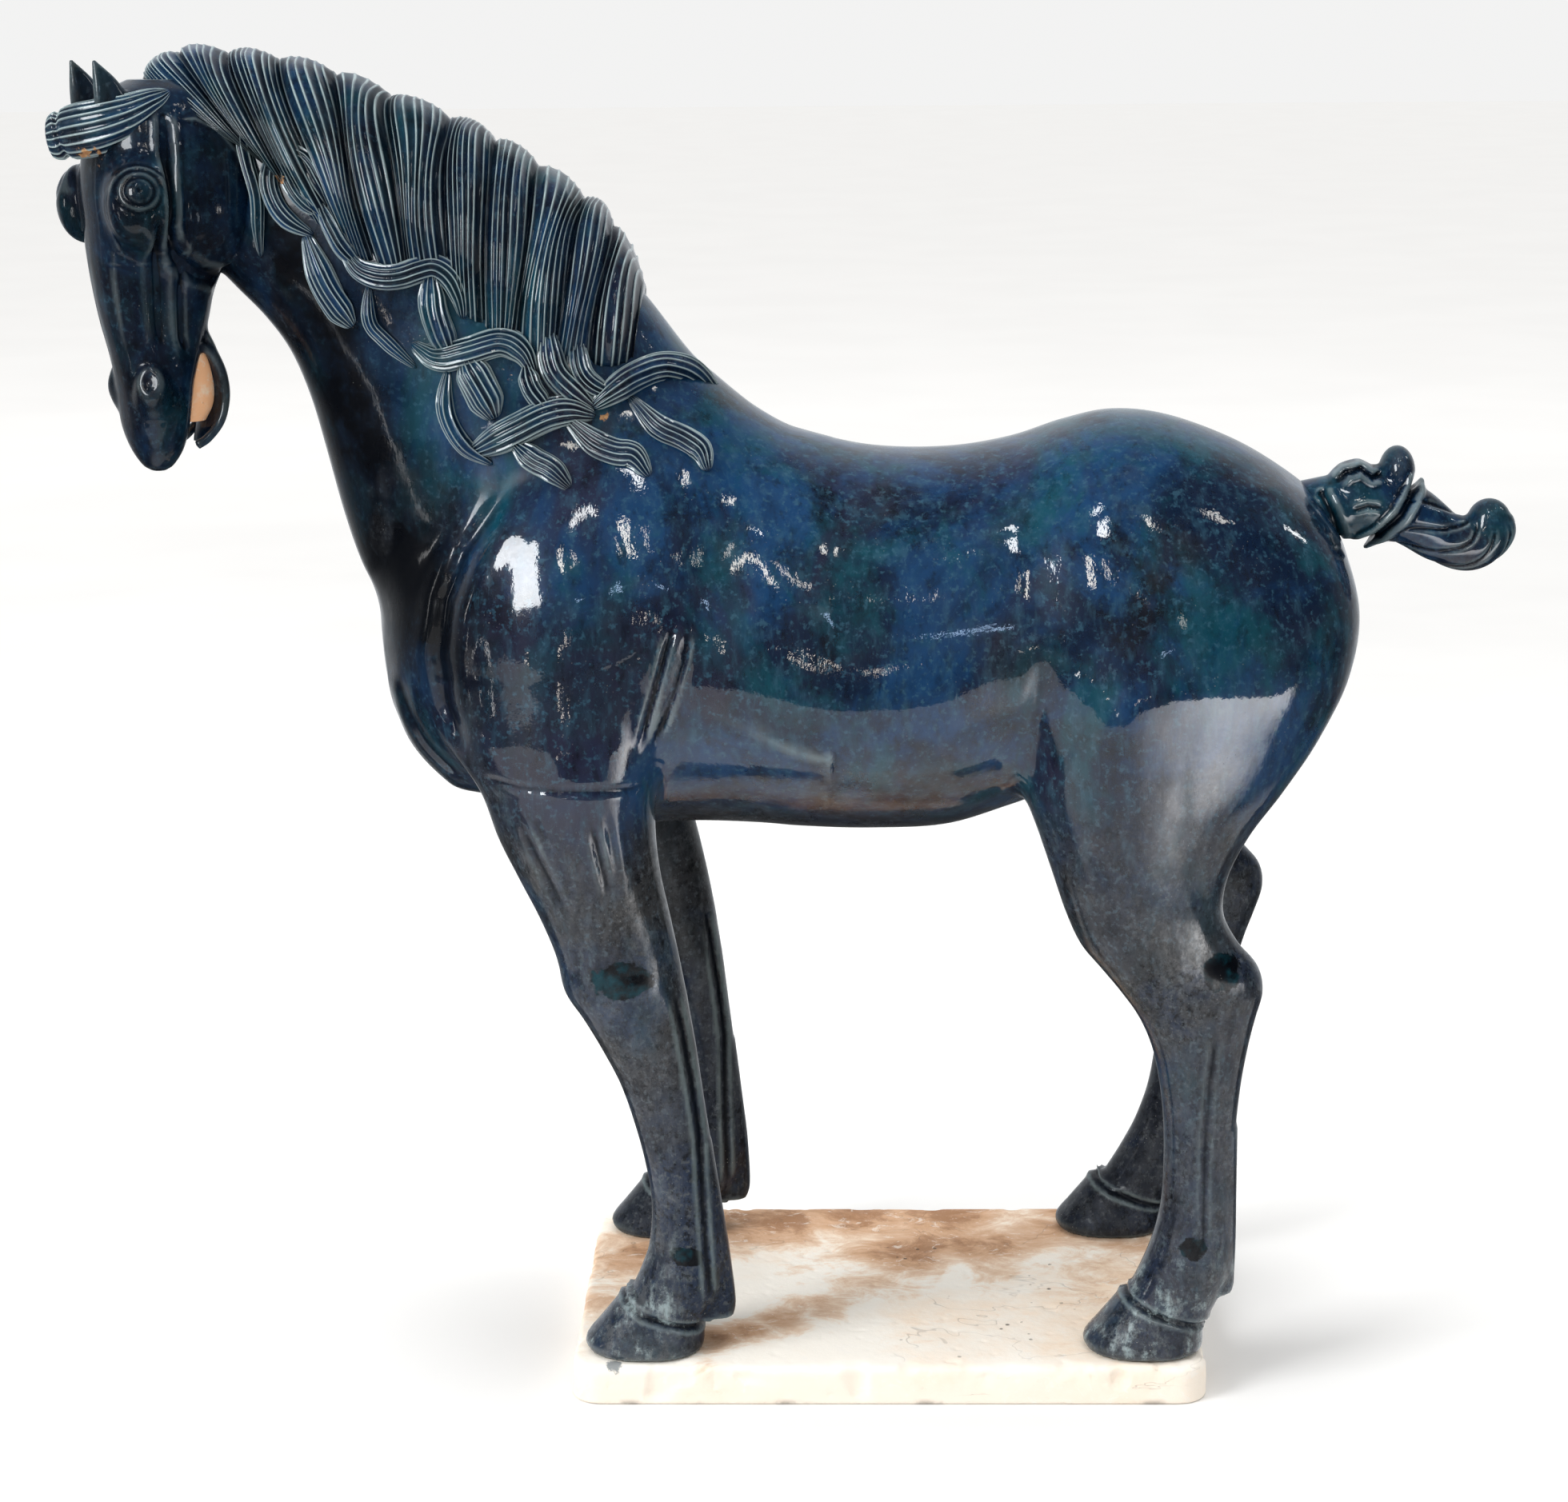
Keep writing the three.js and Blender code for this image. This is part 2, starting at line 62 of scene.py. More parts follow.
def curve(points, shares):
    """Places on a smooth curve through the points, at shares of its length from 0 to 1."""
    p = np.asarray(points, float)
    p = np.vstack([2 * p[0] - p[1], p, 2 * p[-1] - p[-2]])
    s = np.clip(np.atleast_1d(shares), 0, 1) * (len(points) - 1)
    i = np.minimum(s.astype(int), len(points) - 2)
    w = (s - i)[:, None]
    before, start, end, after = p[i], p[i + 1], p[i + 2], p[i + 3]
    leave = (end - before) / 2
    arrive = (after - start) / 2
    return (
        start
        + leave * w
        + (3 * end - 3 * start - 2 * leave - arrive) * w**2
        + (2 * start - 2 * end + leave + arrive) * w**3
    )


def facing_out(verts, faces):
    """The faces, turned over if they face inwards."""
    p = verts[faces]
    inwards = np.einsum("ij,ij->i", p[:, 0], np.cross(p[:, 1], p[:, 2])).sum() < 0
    return faces[:, ::-1] if inwards else faces


def skin(rings):
    """Closes a stack of rings (count, sides, 3) into vertices and triangles."""
    count, sides, _ = rings.shape
    hubs = np.array([rings[0].mean(0), rings[-1].mean(0)])
    verts = np.vstack([rings.reshape(-1, 3), hubs])
    side = np.arange(sides)
    nxt = (side + 1) % sides
    row = (np.arange(count - 1) * sides)[:, None]
    a, b, c, d = row + side, row + nxt, row + sides + nxt, row + sides + side
    tris = [np.stack([a, b, c], -1).reshape(-1, 3), np.stack([a, c, d], -1).reshape(-1, 3)]
    last = (count - 1) * sides
    first_hub = np.full(sides, count * sides)
    tris.append(np.stack([first_hub, nxt, side], -1))
    tris.append(np.stack([first_hub + 1, last + side, last + nxt], -1))
    return verts, facing_out(verts, np.vstack(tris))


def around(sides, squareness):
    """The two coordinates of a ring, round at squareness 1 and fuller below it."""
    turn = np.arange(sides) / sides * 2 * np.pi
    a, b = np.cos(turn), np.sin(turn)
    return np.sign(a) * np.abs(a) ** squareness, np.sign(b) * np.abs(b) ** squareness


def loft(rows, sides=96, steps=140, squareness=1.0):
    """A limb over sections [ax, az, bx, bz, y, half width]."""
    r = np.asarray(rows, float)
    shares = np.linspace(0, 1, steps)
    centres = curve(np.stack([(r[:, 0] + r[:, 2]) / 2, r[:, 4], (r[:, 1] + r[:, 3]) / 2], 1), shares)
    reaches = curve(np.stack([(r[:, 2] - r[:, 0]) / 2, r[:, 5], (r[:, 3] - r[:, 1]) / 2], 1), shares)
    a, b = around(sides, squareness)
    rings = centres[:, None] + np.zeros((steps, sides, 3))
    rings[..., 0] += reaches[:, None, 0] * a
    rings[..., 2] += reaches[:, None, 2] * a
    rings[..., 1] += reaches[:, None, 1] * b
    return skin(rings)


def level(rows):
    """Sections for loft() on the middle plane, from rows [front, back, height, half width]."""
    return [[front, z, back, z, 0, half] for front, back, z, half in rows]


def unit(vectors):
    return vectors / np.linalg.norm(vectors, axis=1, keepdims=True)


def sweep(rows, width_rule, steps):
    """A path through rows [x, y, z, half width, half thickness]: its shares, places, half
    sizes and the directions of width and thickness."""
    r = np.asarray(rows, float)
    shares = np.linspace(0, 1, steps)
    path = curve(r[:, :3], shares)
    along = unit(np.gradient(path, axis=0))
    wide = unit(width_rule(along))
    return shares, path, curve(r[:, 3:5], shares), wide, np.cross(wide, along)


def swept(path, size, wide, thick, angle, scale):
    """Rings round a path; angle and scale are given for each step and side."""
    a = np.cos(angle) * scale * size[:, :1]
    b = np.sin(angle) * scale * size[:, 1:]
    return path[:, None] + wide[:, None] * a[..., None] + thick[:, None] * b[..., None]


def strand(rows, width_rule, sides=40, steps=60, ripple=None):
    """A smooth lock; ripple(turn, share) scales its outline."""
    shares, *frames = sweep(rows, width_rule, steps)
    turn = (np.arange(sides) / sides * 2 * np.pi)[None]
    scale = np.ones((steps, sides)) if ripple is None else ripple(turn, shares[:, None])
    return skin(swept(*frames, turn, scale))


def width_near(direction):
    """A rule that keeps the width as near to a direction as the path allows."""
    d = np.asarray(direction, float)
    return lambda along: d - (along @ d)[:, None] * along


def width_on_face(outward):
    """A rule that lays the width flat on a face with that outward direction."""
    return lambda along: np.cross(along, np.asarray(outward, float))


def swelling(place, size, sides=48):
    """An egg shape with its centre at a place; size is half its extent each way."""
    polar = np.linspace(0, np.pi, sides // 2 + 2)[1:-1, None]
    turn = np.arange(sides) / sides * 2 * np.pi
    rings = [np.sin(polar) * np.cos(turn), np.sin(polar) * np.sin(turn), np.cos(polar) * np.ones(sides)]
    return skin(np.stack(rings, -1) * np.asarray(size, float) + np.asarray(place, float))


def on_side(row, side):
    """The same place on the far (1) or the near (-1) side."""
    return [row[0], side * row[1], *row[2:]]


# Fields


def smooth_step(value, low, high):
    """0 below low, 1 above high, and a smooth rise between them."""
    t = np.clip((value - low) / (high - low), 0, 1)
    return t * t * (3 - 2 * t)


def soft_ends(share, start, end):
    """1 along a path, fading to 0 over a share of it at each end."""
    return smooth_step(share, 0, start) * smooth_step(1 - share, 0, end)


def cell_corners(fx, fy, fz):
    """The eight corners of a grid cell, each with its trilinear weight."""
    for dx, wx in enumerate((1 - fx, fx)):
        for dy, wy in enumerate((1 - fy, fy)):
            for dz, wz in enumerate((1 - fz, fz)):
                yield dx, dy, dz, wx * wy * wz


class Field:
    """A distance field on a regular grid; negative inside. Shells are blended into it."""

    def __init__(self, low, high, pitch, band=12):
        self.pitch = pitch
        self.band = band
        self.reach = band * pitch
        self.origin = np.floor(np.asarray(low) / pitch).astype(int)
        self.shape = tuple(np.ceil(np.asarray(high) / pitch).astype(int) - self.origin + 1)
        self.values = np.full(self.shape, self.reach, np.float32)
        self.frame = openvdb.createLinearTransform(pitch)

    def copy(self):
        """A field on the same grid with its own values."""
        twin = Field.__new__(Field)
        twin.__dict__.update(self.__dict__)
        twin.values = self.values.copy()
        return twin

    def window(self, low, high):
        """The cells from low to high: their slices, and their places along each axis."""
        lo = np.maximum(np.floor(np.asarray(low) / self.pitch).astype(int) - self.origin, 0)
        hi = np.ceil(np.asarray(high) / self.pitch).astype(int) - self.origin + 1
        hi = np.minimum(hi, self.shape)
        slices = tuple(slice(int(a), int(b)) for a, b in zip(lo, hi))
        axes = [(np.arange(s.start, s.stop) + o) * self.pitch for s, o in zip(slices, self.origin)]
        return slices, [axis.astype(np.float32) for axis in np.ix_(*axes)]

    def of_shell(self, shell):
        """The distances round one shell: where they are in the grid, and their values."""
        verts, tris = shell
        grid = openvdb.FloatGrid.createLevelSetFromPolygons(
            verts.astype(np.float32),
            triangles=tris.astype(np.uint32),
            transform=self.frame,
            halfWidth=self.band,
        )
        lo, hi = (np.array(v) for v in grid.evalActiveVoxelBoundingBox())
        lo = np.maximum(lo, self.origin)
        hi = np.minimum(hi, self.origin + np.array(self.shape) - 1)
        part = np.empty(tuple(hi - lo + 1), np.float32)
        grid.copyToArray(part, ijk=tuple(int(v) for v in lo))
        start = lo - self.origin
        return tuple(slice(int(a), int(a + n)) for a, n in zip(start, part.shape)), part

    def join(self, shell, softness, inset=0.0):
        """Adds a shell, with a fillet of about that softness."""
        where, part = self.of_shell(shell)
        part += inset
        here = self.values[where]
        blend = np.maximum(softness - np.abs(here - part), 0) / softness
        self.values[where] = np.minimum(here, part) - blend * blend * softness / 4

    def carve(self, low, high, rule):
        """Adds rule(x, y, z) millimetres of depth (negative raises) inside a window."""
        where, grids = self.window(low, high)
        self.values[where] += rule(*grids).astype(np.float32)

    def sample(self, points):
        """Trilinear values at points (n, 3)."""
        p = points / self.pitch - self.origin
        p = np.clip(p, 0, np.array(self.shape) - 1.001)
        i = p.astype(int)
        f = p - i
        total = 0.0
        for dx, dy, dz, weight in cell_corners(f[:, 0], f[:, 1], f[:, 2]):
            total = total + weight * self.values[i[:, 0] + dx, i[:, 1] + dy, i[:, 2] + dz]
        return total

    def slope(self, points, step=None):
        """The outward direction at points (n, 3)."""
        step = step or self.pitch
        out = np.empty_like(points)
        for axis in range(3):
            shift = np.zeros(3)
            shift[axis] = step
            out[:, axis] = self.sample(points + shift) - self.sample(points - shift)
        length = np.linalg.norm(out, axis=1, keepdims=True)
        return out / np.maximum(length, 1e-6)

    def mesh(self, share):
        """Vertices and triangles of the surface, thinned to a share of the full count."""
        grid = openvdb.FloatGrid(float(self.reach))
        grid.copyFromArray(self.values, ijk=tuple(int(v) for v in self.origin))
        grid.transform = self.frame
        points, tris, quads = grid.convertToPolygons(0.0, 0.0)
        faces = np.vstack([quads[:, [0, 1, 2]], quads[:, [0, 2, 3]]])
        if len(tris):
            faces = np.vstack([faces, tris])
        verts = points.astype(float)
        verts, faces = largest_body(verts, facing_out(verts, faces))
        if share < 1:
            verts, faces = thinned(verts, faces, share)
        for _ in range(2):
            verts = verts - self.slope(verts) * self.sample(verts)[:, None]
        return verts, faces


def largest_body(verts, faces):
    """Keeps the biggest connected body of a mesh."""
    label = np.arange(len(verts))
    while True:
        low = label[faces].min(1)
        fresh = label.copy()
        np.minimum.at(fresh, faces.ravel(), np.repeat(low, 3))
        fresh = fresh[fresh]
        fresh = fresh[fresh]
        if (fresh == label).all():
            break
        label = fresh
    counts = np.bincount(label[faces[:, 0]])
    keep = label[faces[:, 0]] == counts.argmax()
    faces = faces[keep]
    used, inverse = np.unique(faces, return_inverse=True)
    return verts[used], inverse.reshape(-1, 3)


def new_mesh(name, verts, faces):
    mesh = bpy.data.meshes.new(name)
    mesh.vertices.add(len(verts))
    mesh.vertices.foreach_set("co", np.ascontiguousarray(verts, np.float32).ravel())
    mesh.loops.add(len(faces) * 3)
    mesh.loops.foreach_set("vertex_index", np.ascontiguousarray(faces, np.int32).ravel())
    mesh.polygons.add(len(faces))
    mesh.polygons.foreach_set("loop_start", np.arange(0, len(faces) * 3, 3, dtype=np.int32))
    mesh.update(calc_edges=True)
    mesh.validate()
    return mesh


def in_scene(name, data):
    """A new object of the scene that shows the data."""
    made = bpy.data.objects.new(name, data)
    bpy.context.scene.collection.objects.link(made)
    return made


def thinned(verts, faces, share):
    """The mesh with about that share of its triangles."""
    mesh = new_mesh("thinning", verts, faces)
    piece = in_scene("thinning", mesh)
    modifier = piece.modifiers.new("thin", "DECIMATE")
    modifier.ratio = share
    done = piece.evaluated_get(bpy.context.evaluated_depsgraph_get()).to_mesh()
    done.calc_loop_triangles()
    out = np.empty(len(done.vertices) * 3, np.float32)
    done.vertices.foreach_get("co", out)
    corners = np.empty(len(done.loop_triangles) * 3, np.int32)
    done.loop_triangles.foreach_get("vertices", corners)
    bpy.data.objects.remove(piece)
    bpy.data.meshes.remove(mesh)
    return out.reshape(-1, 3).astype(float), corners.reshape(-1, 3)


def line_distance(a, b, line):
    """Distance in a plane from each grid place (a, b) to a polyline, and the share along it."""
    best = None
    lengths = [math.dist(line[i], line[i + 1]) for i in range(len(line) - 1)]
    total = sum(lengths)
    run = 0.0
    for (a0, b0), (a1, b1), length in zip(line[:-1], line[1:], lengths):
        ua, ub = (a1 - a0) / length, (b1 - b0) / length
        t = np.clip((a - a0) * ua + (b - b0) * ub, 0, length)
        d = np.sqrt((a - a0 - t * ua) ** 2 + (b - b0 - t * ub) ** 2)
        s = (run + t) / total
        if best is None:
            best, share = d, s
        else:
            nearer = d < best
            share = np.where(nearer, s, share)
            best = np.minimum(best, d)
        run += length
    return best, share


def crease(field, line, side, y_from, y_to, depth, width, ends=0.15, rim=0.0, rim_at=2.2):
    """A groove (depth over 0) or ridge (under 0) along a line seen from the side."""
    xs, zs = [p[0] for p in line], [p[1] for p in line]
    pad = width * 4
    low = [min(xs) - pad, min(side * y_from, side * y_to), min(zs) - pad]
    high = [max(xs) + pad, max(side * y_from, side * y_to), max(zs) + pad]

    def rule(x, y, z):
        d, share = line_distance(x, z, line)
        taper = soft_ends(share, ends, ends)
        edge = smooth_step(side * y, y_from, y_from + 6)
        cut = np.exp(-((d / width) ** 2))
        if rim:
            cut = cut - rim * np.exp(-(((d - width * rim_at) / width) ** 2))
        return depth * cut * taper * edge + 0 * y

    field.carve(low, high, rule)


def creases(field, table, side, fade=1.0):
    """Cuts rows [depth, width, y from, y to, soft ends, rim, line]; a last value places the rim."""
    for depth, width, y_from, y_to, ends, rim, line, *rim_at in table:
        crease(field, line, side, y_from, y_to, depth * fade, width, ends, rim, *rim_at)


def patch(field, centre, sizes, depth, tilt=0.0, tilt_height=10.0):
    """A soft hollow (depth over 0), a bump (under 0) or a shelf that faces up (tilt)."""
    centre, sizes = np.asarray(centre, float), np.asarray(sizes, float)

    def rule(x, y, z):
        q = ((x - centre[0]) / sizes[0]) ** 2 + ((y - centre[1]) / sizes[1]) ** 2
        q = q + ((z - centre[2]) / sizes[2]) ** 2
        bell = np.exp(-q)
        return depth * bell + tilt * bell * (z - centre[2]) / tilt_height

    field.carve(centre - 2.6 * sizes, centre + 2.6 * sizes, rule)


# Sizes of the horse

# Sections along the trunk: [x, low, high, half width].
TRUNK = [
    [-254, 325, 372, 30], [-247, 306, 400, 50], [-233, 291, 425, 66], [-212, 280, 446, 78],
    [-180, 269, 468, 86], [-140, 263, 484, 90], [-100, 264, 490, 92], [-68, 263, 478, 92],
    [-43, 261, 469, 92], [-8, 260, 461, 92], [31, 262, 460, 92], [64, 272, 465, 91],
    [92, 282, 474, 91], [117, 287, 479, 90], [145, 291, 476, 88], [178, 298, 464, 82],
    [204, 306, 449, 72], [222, 316, 434, 59], [235, 334, 413, 42], [241, 356, 392, 22],
]
SHOULDER = ([-168, 42, 372], [66, 56, 88])
# Sections up the neck: [throat x, z, crest x, z, y, half width].
NECK = [
    [-225, 290, -45, 430, 0, 72], [-255, 340, -66, 466, 0, 74], [-262, 378, -86, 493, 0, 70],
    [-273, 404, -103, 513, 0, 65], [-281, 430, -122, 538, 0, 60], [-288, 460, -143, 562, -1, 55],
    [-295, 488, -168, 584, -2, 50], [-304, 512, -196, 603, -4, 46], [-316, 530, -228, 620, -6, 40],
    [-331, 546, -266, 634, -7, 35], [-345, 562, -306, 643, -8, 29], [-356, 582, -342, 646, -10, 24],
    [-362, 606, -360, 642, -12, 18],
]
# Sections down a leg: [height, front, back, share of the way out, half width].
FORELEG = [
    [350, -226, -108, 0.69, 34], [320, -220, -113, 0.768, 37], [296, -206, -118, 0.821, 37],
    [273, -198, -118, 0.857, 34], [252, -188, -115.5, 0.881, 30.5], [231, -177.5, -111, 0.905, 27.5],
    [209, -168.5, -106.5, 0.923, 25.5], [192, -163.5, -103.5, 0.935, 25], [178, -156, -101.5, 0.94, 23.5],
    [163, -147.5, -99, 0.952, 21], [144, -138, -96.5, 0.964, 18.5], [123, -131, -93.5, 0.976, 17],
    [101, -125.5, -90, 0.988, 16.5], [79, -122.5, -87, 0.994, 17], [57, -124, -84, 1, 19],
    [42, -129, -84, 1, 20.5], [28, -135, -88, 1, 21], [14, -138, -98, 1, 20],
]
HINDLEG = [
    [437, 130, 198, 0.33, 24], [418, 104, 219, 0.405, 38.5], [385, 88, 236, 0.524, 45],
    [350, 73, 233, 0.619, 46], [320, 68, 219, 0.69, 44], [294, 70, 201, 0.762, 41], [272, 77, 184, 0.81, 37],
    [251, 84, 173, 0.851, 32.5], [232, 90.5, 170.5, 0.881, 28], [216, 98, 178, 0.905, 25.5],
    [204, 108, 187.5, 0.923, 24], [192, 118, 190.5, 0.935, 22.5], [178, 128, 187.5, 0.946, 20.5],
    [162, 135, 184, 0.958, 18.5], [144, 139, 181, 0.97, 17.5], [123, 141.5, 179, 0.976, 17],
    [101, 142, 178.5, 0.988, 17], [79, 141, 178.5, 0.994, 17.5], [60, 137, 179, 1, 19],
    [44, 131, 178, 1, 20.5], [28, 124, 172, 1, 21], [14, 122, 165, 1, 20],
]
# Sections up a hoof: [in from the toe, toe height, in from the heel, heel height, in at each side].
HOOF = [
    [1.5, 0, 1, 0, 1.5], [0, 5, 0, 4, 0], [7, 14, 0, 9, 1.5], [15, 24, 0.5, 13, 3], [21, 32, 2, 15, 6],
]
# The edge of the tendon and tuft behind each leg: [height, back].
FORE_TUFT = [[112, -91.5], [79, -86.5], [50, -82], [26, -79.5], [17, -80.5]]
HIND_TUFT = [[120, 179], [79, 179.5], [50, 179.5], [36, 179.5], [30, 178.5]]
HOOF_SIDEWAYS = 84
HOOF_HALF_WIDTH = 25
HOOF_LENGTH = 62
HOOF_TOE_REACH = 20
TUFT_DEPTH = 22
TUFT_HALF_WIDTH = 9
# How far the far legs stand back from the near ones at hoof and joint, and how far they are raised.
FORE_SHIFT = {"hoof": 2, "joint": 9, "lift": 0}
HIND_SHIFT = {"hoof": -3, "joint": 21, "lift": 13}
NO_SHIFT = {"hoof": 0, "joint": 0, "lift": 0}
SHIFTS = {-1: (NO_SHIFT, NO_SHIFT), 1: (FORE_SHIFT, HIND_SHIFT)}
HOOF_TOP, KNEE_TOP = 20, 200
SHIFT_FADE = (240, 360)

# The head stands at the origin and looks along -x; it is turned and placed later.
# Level sections down it: [front, back, height, half width].
SKULL = [
    [-16, 12, 649, 13], [-30, 28, 642, 24], [-37, 38, 630, 30], [-40, 43, 615, 33],
    [-41, 43, 598, 34], [-41, 38, 580, 32], [-40.5, 29, 562, 26.5], [-39, 21, 545, 22],
    [-36.5, 17, 530, 20], [-33, 12, 515, 19], [-30.5, 7, 500, 19.5], [-29, 4.5, 488, 20],
    [-27.5, 2.5, 476, 18.5], [-24, -0.5, 465, 14.5], [-19.5, -5, 457, 8.5], [-15.5, -9, 454, 4],
]
JAW = [
    [0, 18, 552, 14], [4, 15, 530, 13], [10, 20, 516, 13], [15, 25.5, 503, 13],
    [17, 26.5, 492, 12.5], [15, 24, 482, 11.5], [11.5, 20, 474, 9], [9, 14, 467, 5],
]
TONGUE = [[-5, 14, 530, 10.6], [-5, 20, 505, 10.6], [-5, 20, 488, 10.6], [-3, 15, 478, 7.6]]
SKULL_SQUARENESS = 0.78
# Swellings of the head: place, half size.
BROW = ([-29.7, 30, 588], [15, 14.5, 20])
NEAR_BROW = ([-29, 29, 589], [15.5, 13, 20])
FOREHEAD = ([-20, 0, 594], [19, 37, 22])
CHEEK = ([12, 24, 596], [33, 15, 38])
NOSTRIL = ([-20, 15, 496], [9.5, 9, 13])
EAR = [[-28, 13, 618, 9, 6], [-32, 14, 634, 9.8, 5], [-36, 13.5, 646, 7, 3.8], [-41.5, 13, 658.6, 0.8, 0.8]]
FORELOCK = [
    [-6, -22, 643.5, 2.5, 3], [-16, -21, 638, 7.5, 8], [-27, -17, 631.5, 11.5, 11],
    [-38, -10, 627, 13.5, 11.5], [-47, -2, 624.5, 13.5, 10.5], [-53.3, 5, 622.5, 12, 9.5],
    [-57.9, 9, 621.8, 10.8, 8.4],
]
FORELOCK_CHANNELS = 19
# The band that ties the forelock: where along it, how deep, how wide.
FORELOCK_BAND = (0.78, 0.16, 0.03)
LIP = [
    [-3.5, 506], [-1, 513], [6, 516.5], [14, 513], [19.5, 503], [21.5, 490.5], [18.5, 478.5], [11, 470],
    [4.5, 466.5],
]
CHEEK_REAR = [(-344, 632), (-332, 624), (-324, 611), (-319.5, 593), (-323, 577), (-332, 562)]
CHEEK_REAR_GROOVE = [5.5, 4.5, 8, 70, 0.15, 0.0, CHEEK_REAR]
HEAD_TURN = math.radians(38)
HEAD_PLACE = np.array([-361.5, -20, 0])

TAIL = [
    [214, 0, 424, 17, 17], [234, 0, 428, 18, 17], [252, 0, 429, 20, 19], [270, -2, 424, 18, 16],
    [287, -3, 413, 15, 14], [302, -4, 409, 14, 14], [313.6, -4, 416, 11.7, 12], [316.2, -4, 425, 6, 7],
]
TAIL_TURNS = [([242, -4, 441], [12, 13, 11]), ([263, -3, 446.5], [9.3, 13, 13.5])]
TAIL_END = ([311.2, -4, 420], [11.5, 11, 12.5])

# The notches between the lobes of the mane: [crest x, z, lower end x, z].
MANE = [
    [-379, 652, -318, 615], [-359, 666, -306, 606], [-333, 666, -292, 590], [-307, 663, -271, 573],
    [-278, 656, -254, 562], [-250, 645, -237, 558], [-220, 634, -217, 546], [-197, 623, -200, 531],
    [-175, 610, -183, 521], [-152, 594, -165, 515], [-137, 580, -149, 512], [-122, 550, -127, 511],
]
MANE_THICKNESS = 9
MANE_ROOTING = 6
LOBE_HANG = 4
MANE_CORE = 0.55
FAR_WAY = -0.7
NOTCH_THINNESS = 0.35
EDGE_THINNESS = 0.3
LOBE_ROUNDNESS = 0.6
SIDE_THICKNESS = 11.5
VALLEY_THINNESS = 0.22
COMB_DEPTH = 1.9
COMB_STRAY = 0.045
CREST_TRIM = 1.1
GROUND_STEPS = 240
# How deep forelock and loose locks are combed.
LOCK_COMB_DEPTH = (1.3, 1.35)

# Half the width of each loose lock, then its places [x, z].
LOCKS = [
    [6, [-270, 570], [-263, 558], [-251, 553], [-238, 554], [-225, 558], [-216, 553], [-211, 542],
     [-210, 532]],
    [6.5, [-226, 556], [-225, 539], [-221, 526], [-215, 512]],
    [3.5, [-257, 549], [-257, 531], [-249, 521], [-234, 508]],
    [6.8, [-236, 520], [-223, 513], [-206, 517], [-191, 521], [-181, 516], [-175, 505]],
    [8.5, [-209, 514], [-202, 499], [-195, 483]],
    [5, [-179, 509], [-176, 498], [-168, 487]],
    [4.2, [-218, 508], [-220, 492], [-217, 480], [-209, 469], [-196, 461]],
    [7.5, [-208, 466], [-196, 472], [-182, 479], [-169, 485], [-157, 487], [-145, 484]],
    [6, [-186, 472], [-176, 464], [-167, 459], [-157, 450]],
    [6.5, [-160, 484], [-146, 472], [-135, 467], [-126, 465], [-118, 455]],
    [5.8, [-129, 493], [-115, 479], [-102, 473], [-93, 467], [-89, 457]],
    [6.8, [-147, 488], [-136, 496], [-124, 503], [-111, 506], [-97, 501], [-84, 487]],
    [6.5, [-169, 530], [-166, 509], [-158, 498], [-146, 488]],
    [5.5, [-155, 526], [-153, 508], [-147, 499], [-136, 493]],
    [3.2, [-319, 629], [-319, 619], [-316, 607], [-312, 592], [-312, 576], [-312, 562]],
    [4.5, [-303, 617], [-306, 601], [-303, 589], [-296, 580], [-284, 573]],
    [4.8, [-301, 617], [-288, 611], [-281, 600], [-276, 588]],
    [4.2, [-299, 606], [-291, 593], [-280, 583]],
    [6.8, [-288, 574], [-280, 551], [-273, 538], [-266, 528]],
    [4.5, [-281, 590], [-274, 576], [-269, 567], [-260, 557]],
]
LOCK_THICKNESS = 7
LOCK_TAPER = 0.55
LOCK_RISE = 1.6
# One lock crosses from the neck to the shoulder on its own: its number and y along it.
STEEP_LOCK = 11
STEEP_Y = [-57, -53, -43, -30, -17, -7]


# Body


def leg_shift(height, shift):
    """How far back a leg stands at a height; the joint's shift fades out in the trunk."""
    climb = np.clip((height - HOOF_TOP) / (KNEE_TOP - HOOF_TOP), 0, 1) ** 0.6
    fade = 1 - smooth_step(height, *SHIFT_FADE)
    return float(shift["hoof"] + (shift["joint"] * fade - shift["hoof"]) * climb)


def leg(sections, side, shift):
    rows = []
    for height, front, back, share, half in sections:
        push = leg_shift(height, shift)
        z = height + (shift["lift"] * push / shift["joint"] if push > 0 else 0)
        rows.append([front + push, z, back + push, z, side * share * HOOF_SIDEWAYS, half])
    return loft(rows, 72, 150)


def hoof(toe, side):
    heel = toe + HOOF_LENGTH
    rows = [
        [toe + toe_in, toe_z, heel - heel_in, heel_z, side * HOOF_SIDEWAYS, HOOF_HALF_WIDTH - side_in]
        for toe_in, toe_z, heel_in, heel_z, side_in in HOOF
    ]
    return loft(rows, 72, 40, 0.9)


def heel_tuft(sections, side, shift):
    rows = []
    for height, back in sections:
        x = back + leg_shift(height, shift)
        rows.append([x - TUFT_DEPTH, height, x, height, side * HOOF_SIDEWAYS, TUFT_HALF_WIDTH])
    return loft(rows, 48, 60, 0.8)


# The value after each shell is the softness of its joint in millimetres.
body = Field([-426, -116, -3], [248, 116, 662], 1.5)
body.join(loft([[x, low, x, high, 0, half] for x, low, high, half in TRUNK], 128, 200), 1.0)
body.join(loft(NECK, 128, 160), 22.0)
for side in (-1, 1):
    body.join(swelling(on_side(SHOULDER[0], side), SHOULDER[1], 96), 7.0)

# The hair is laid on the neck and trunk alone, before the legs are added.
hair_ground = body.copy()

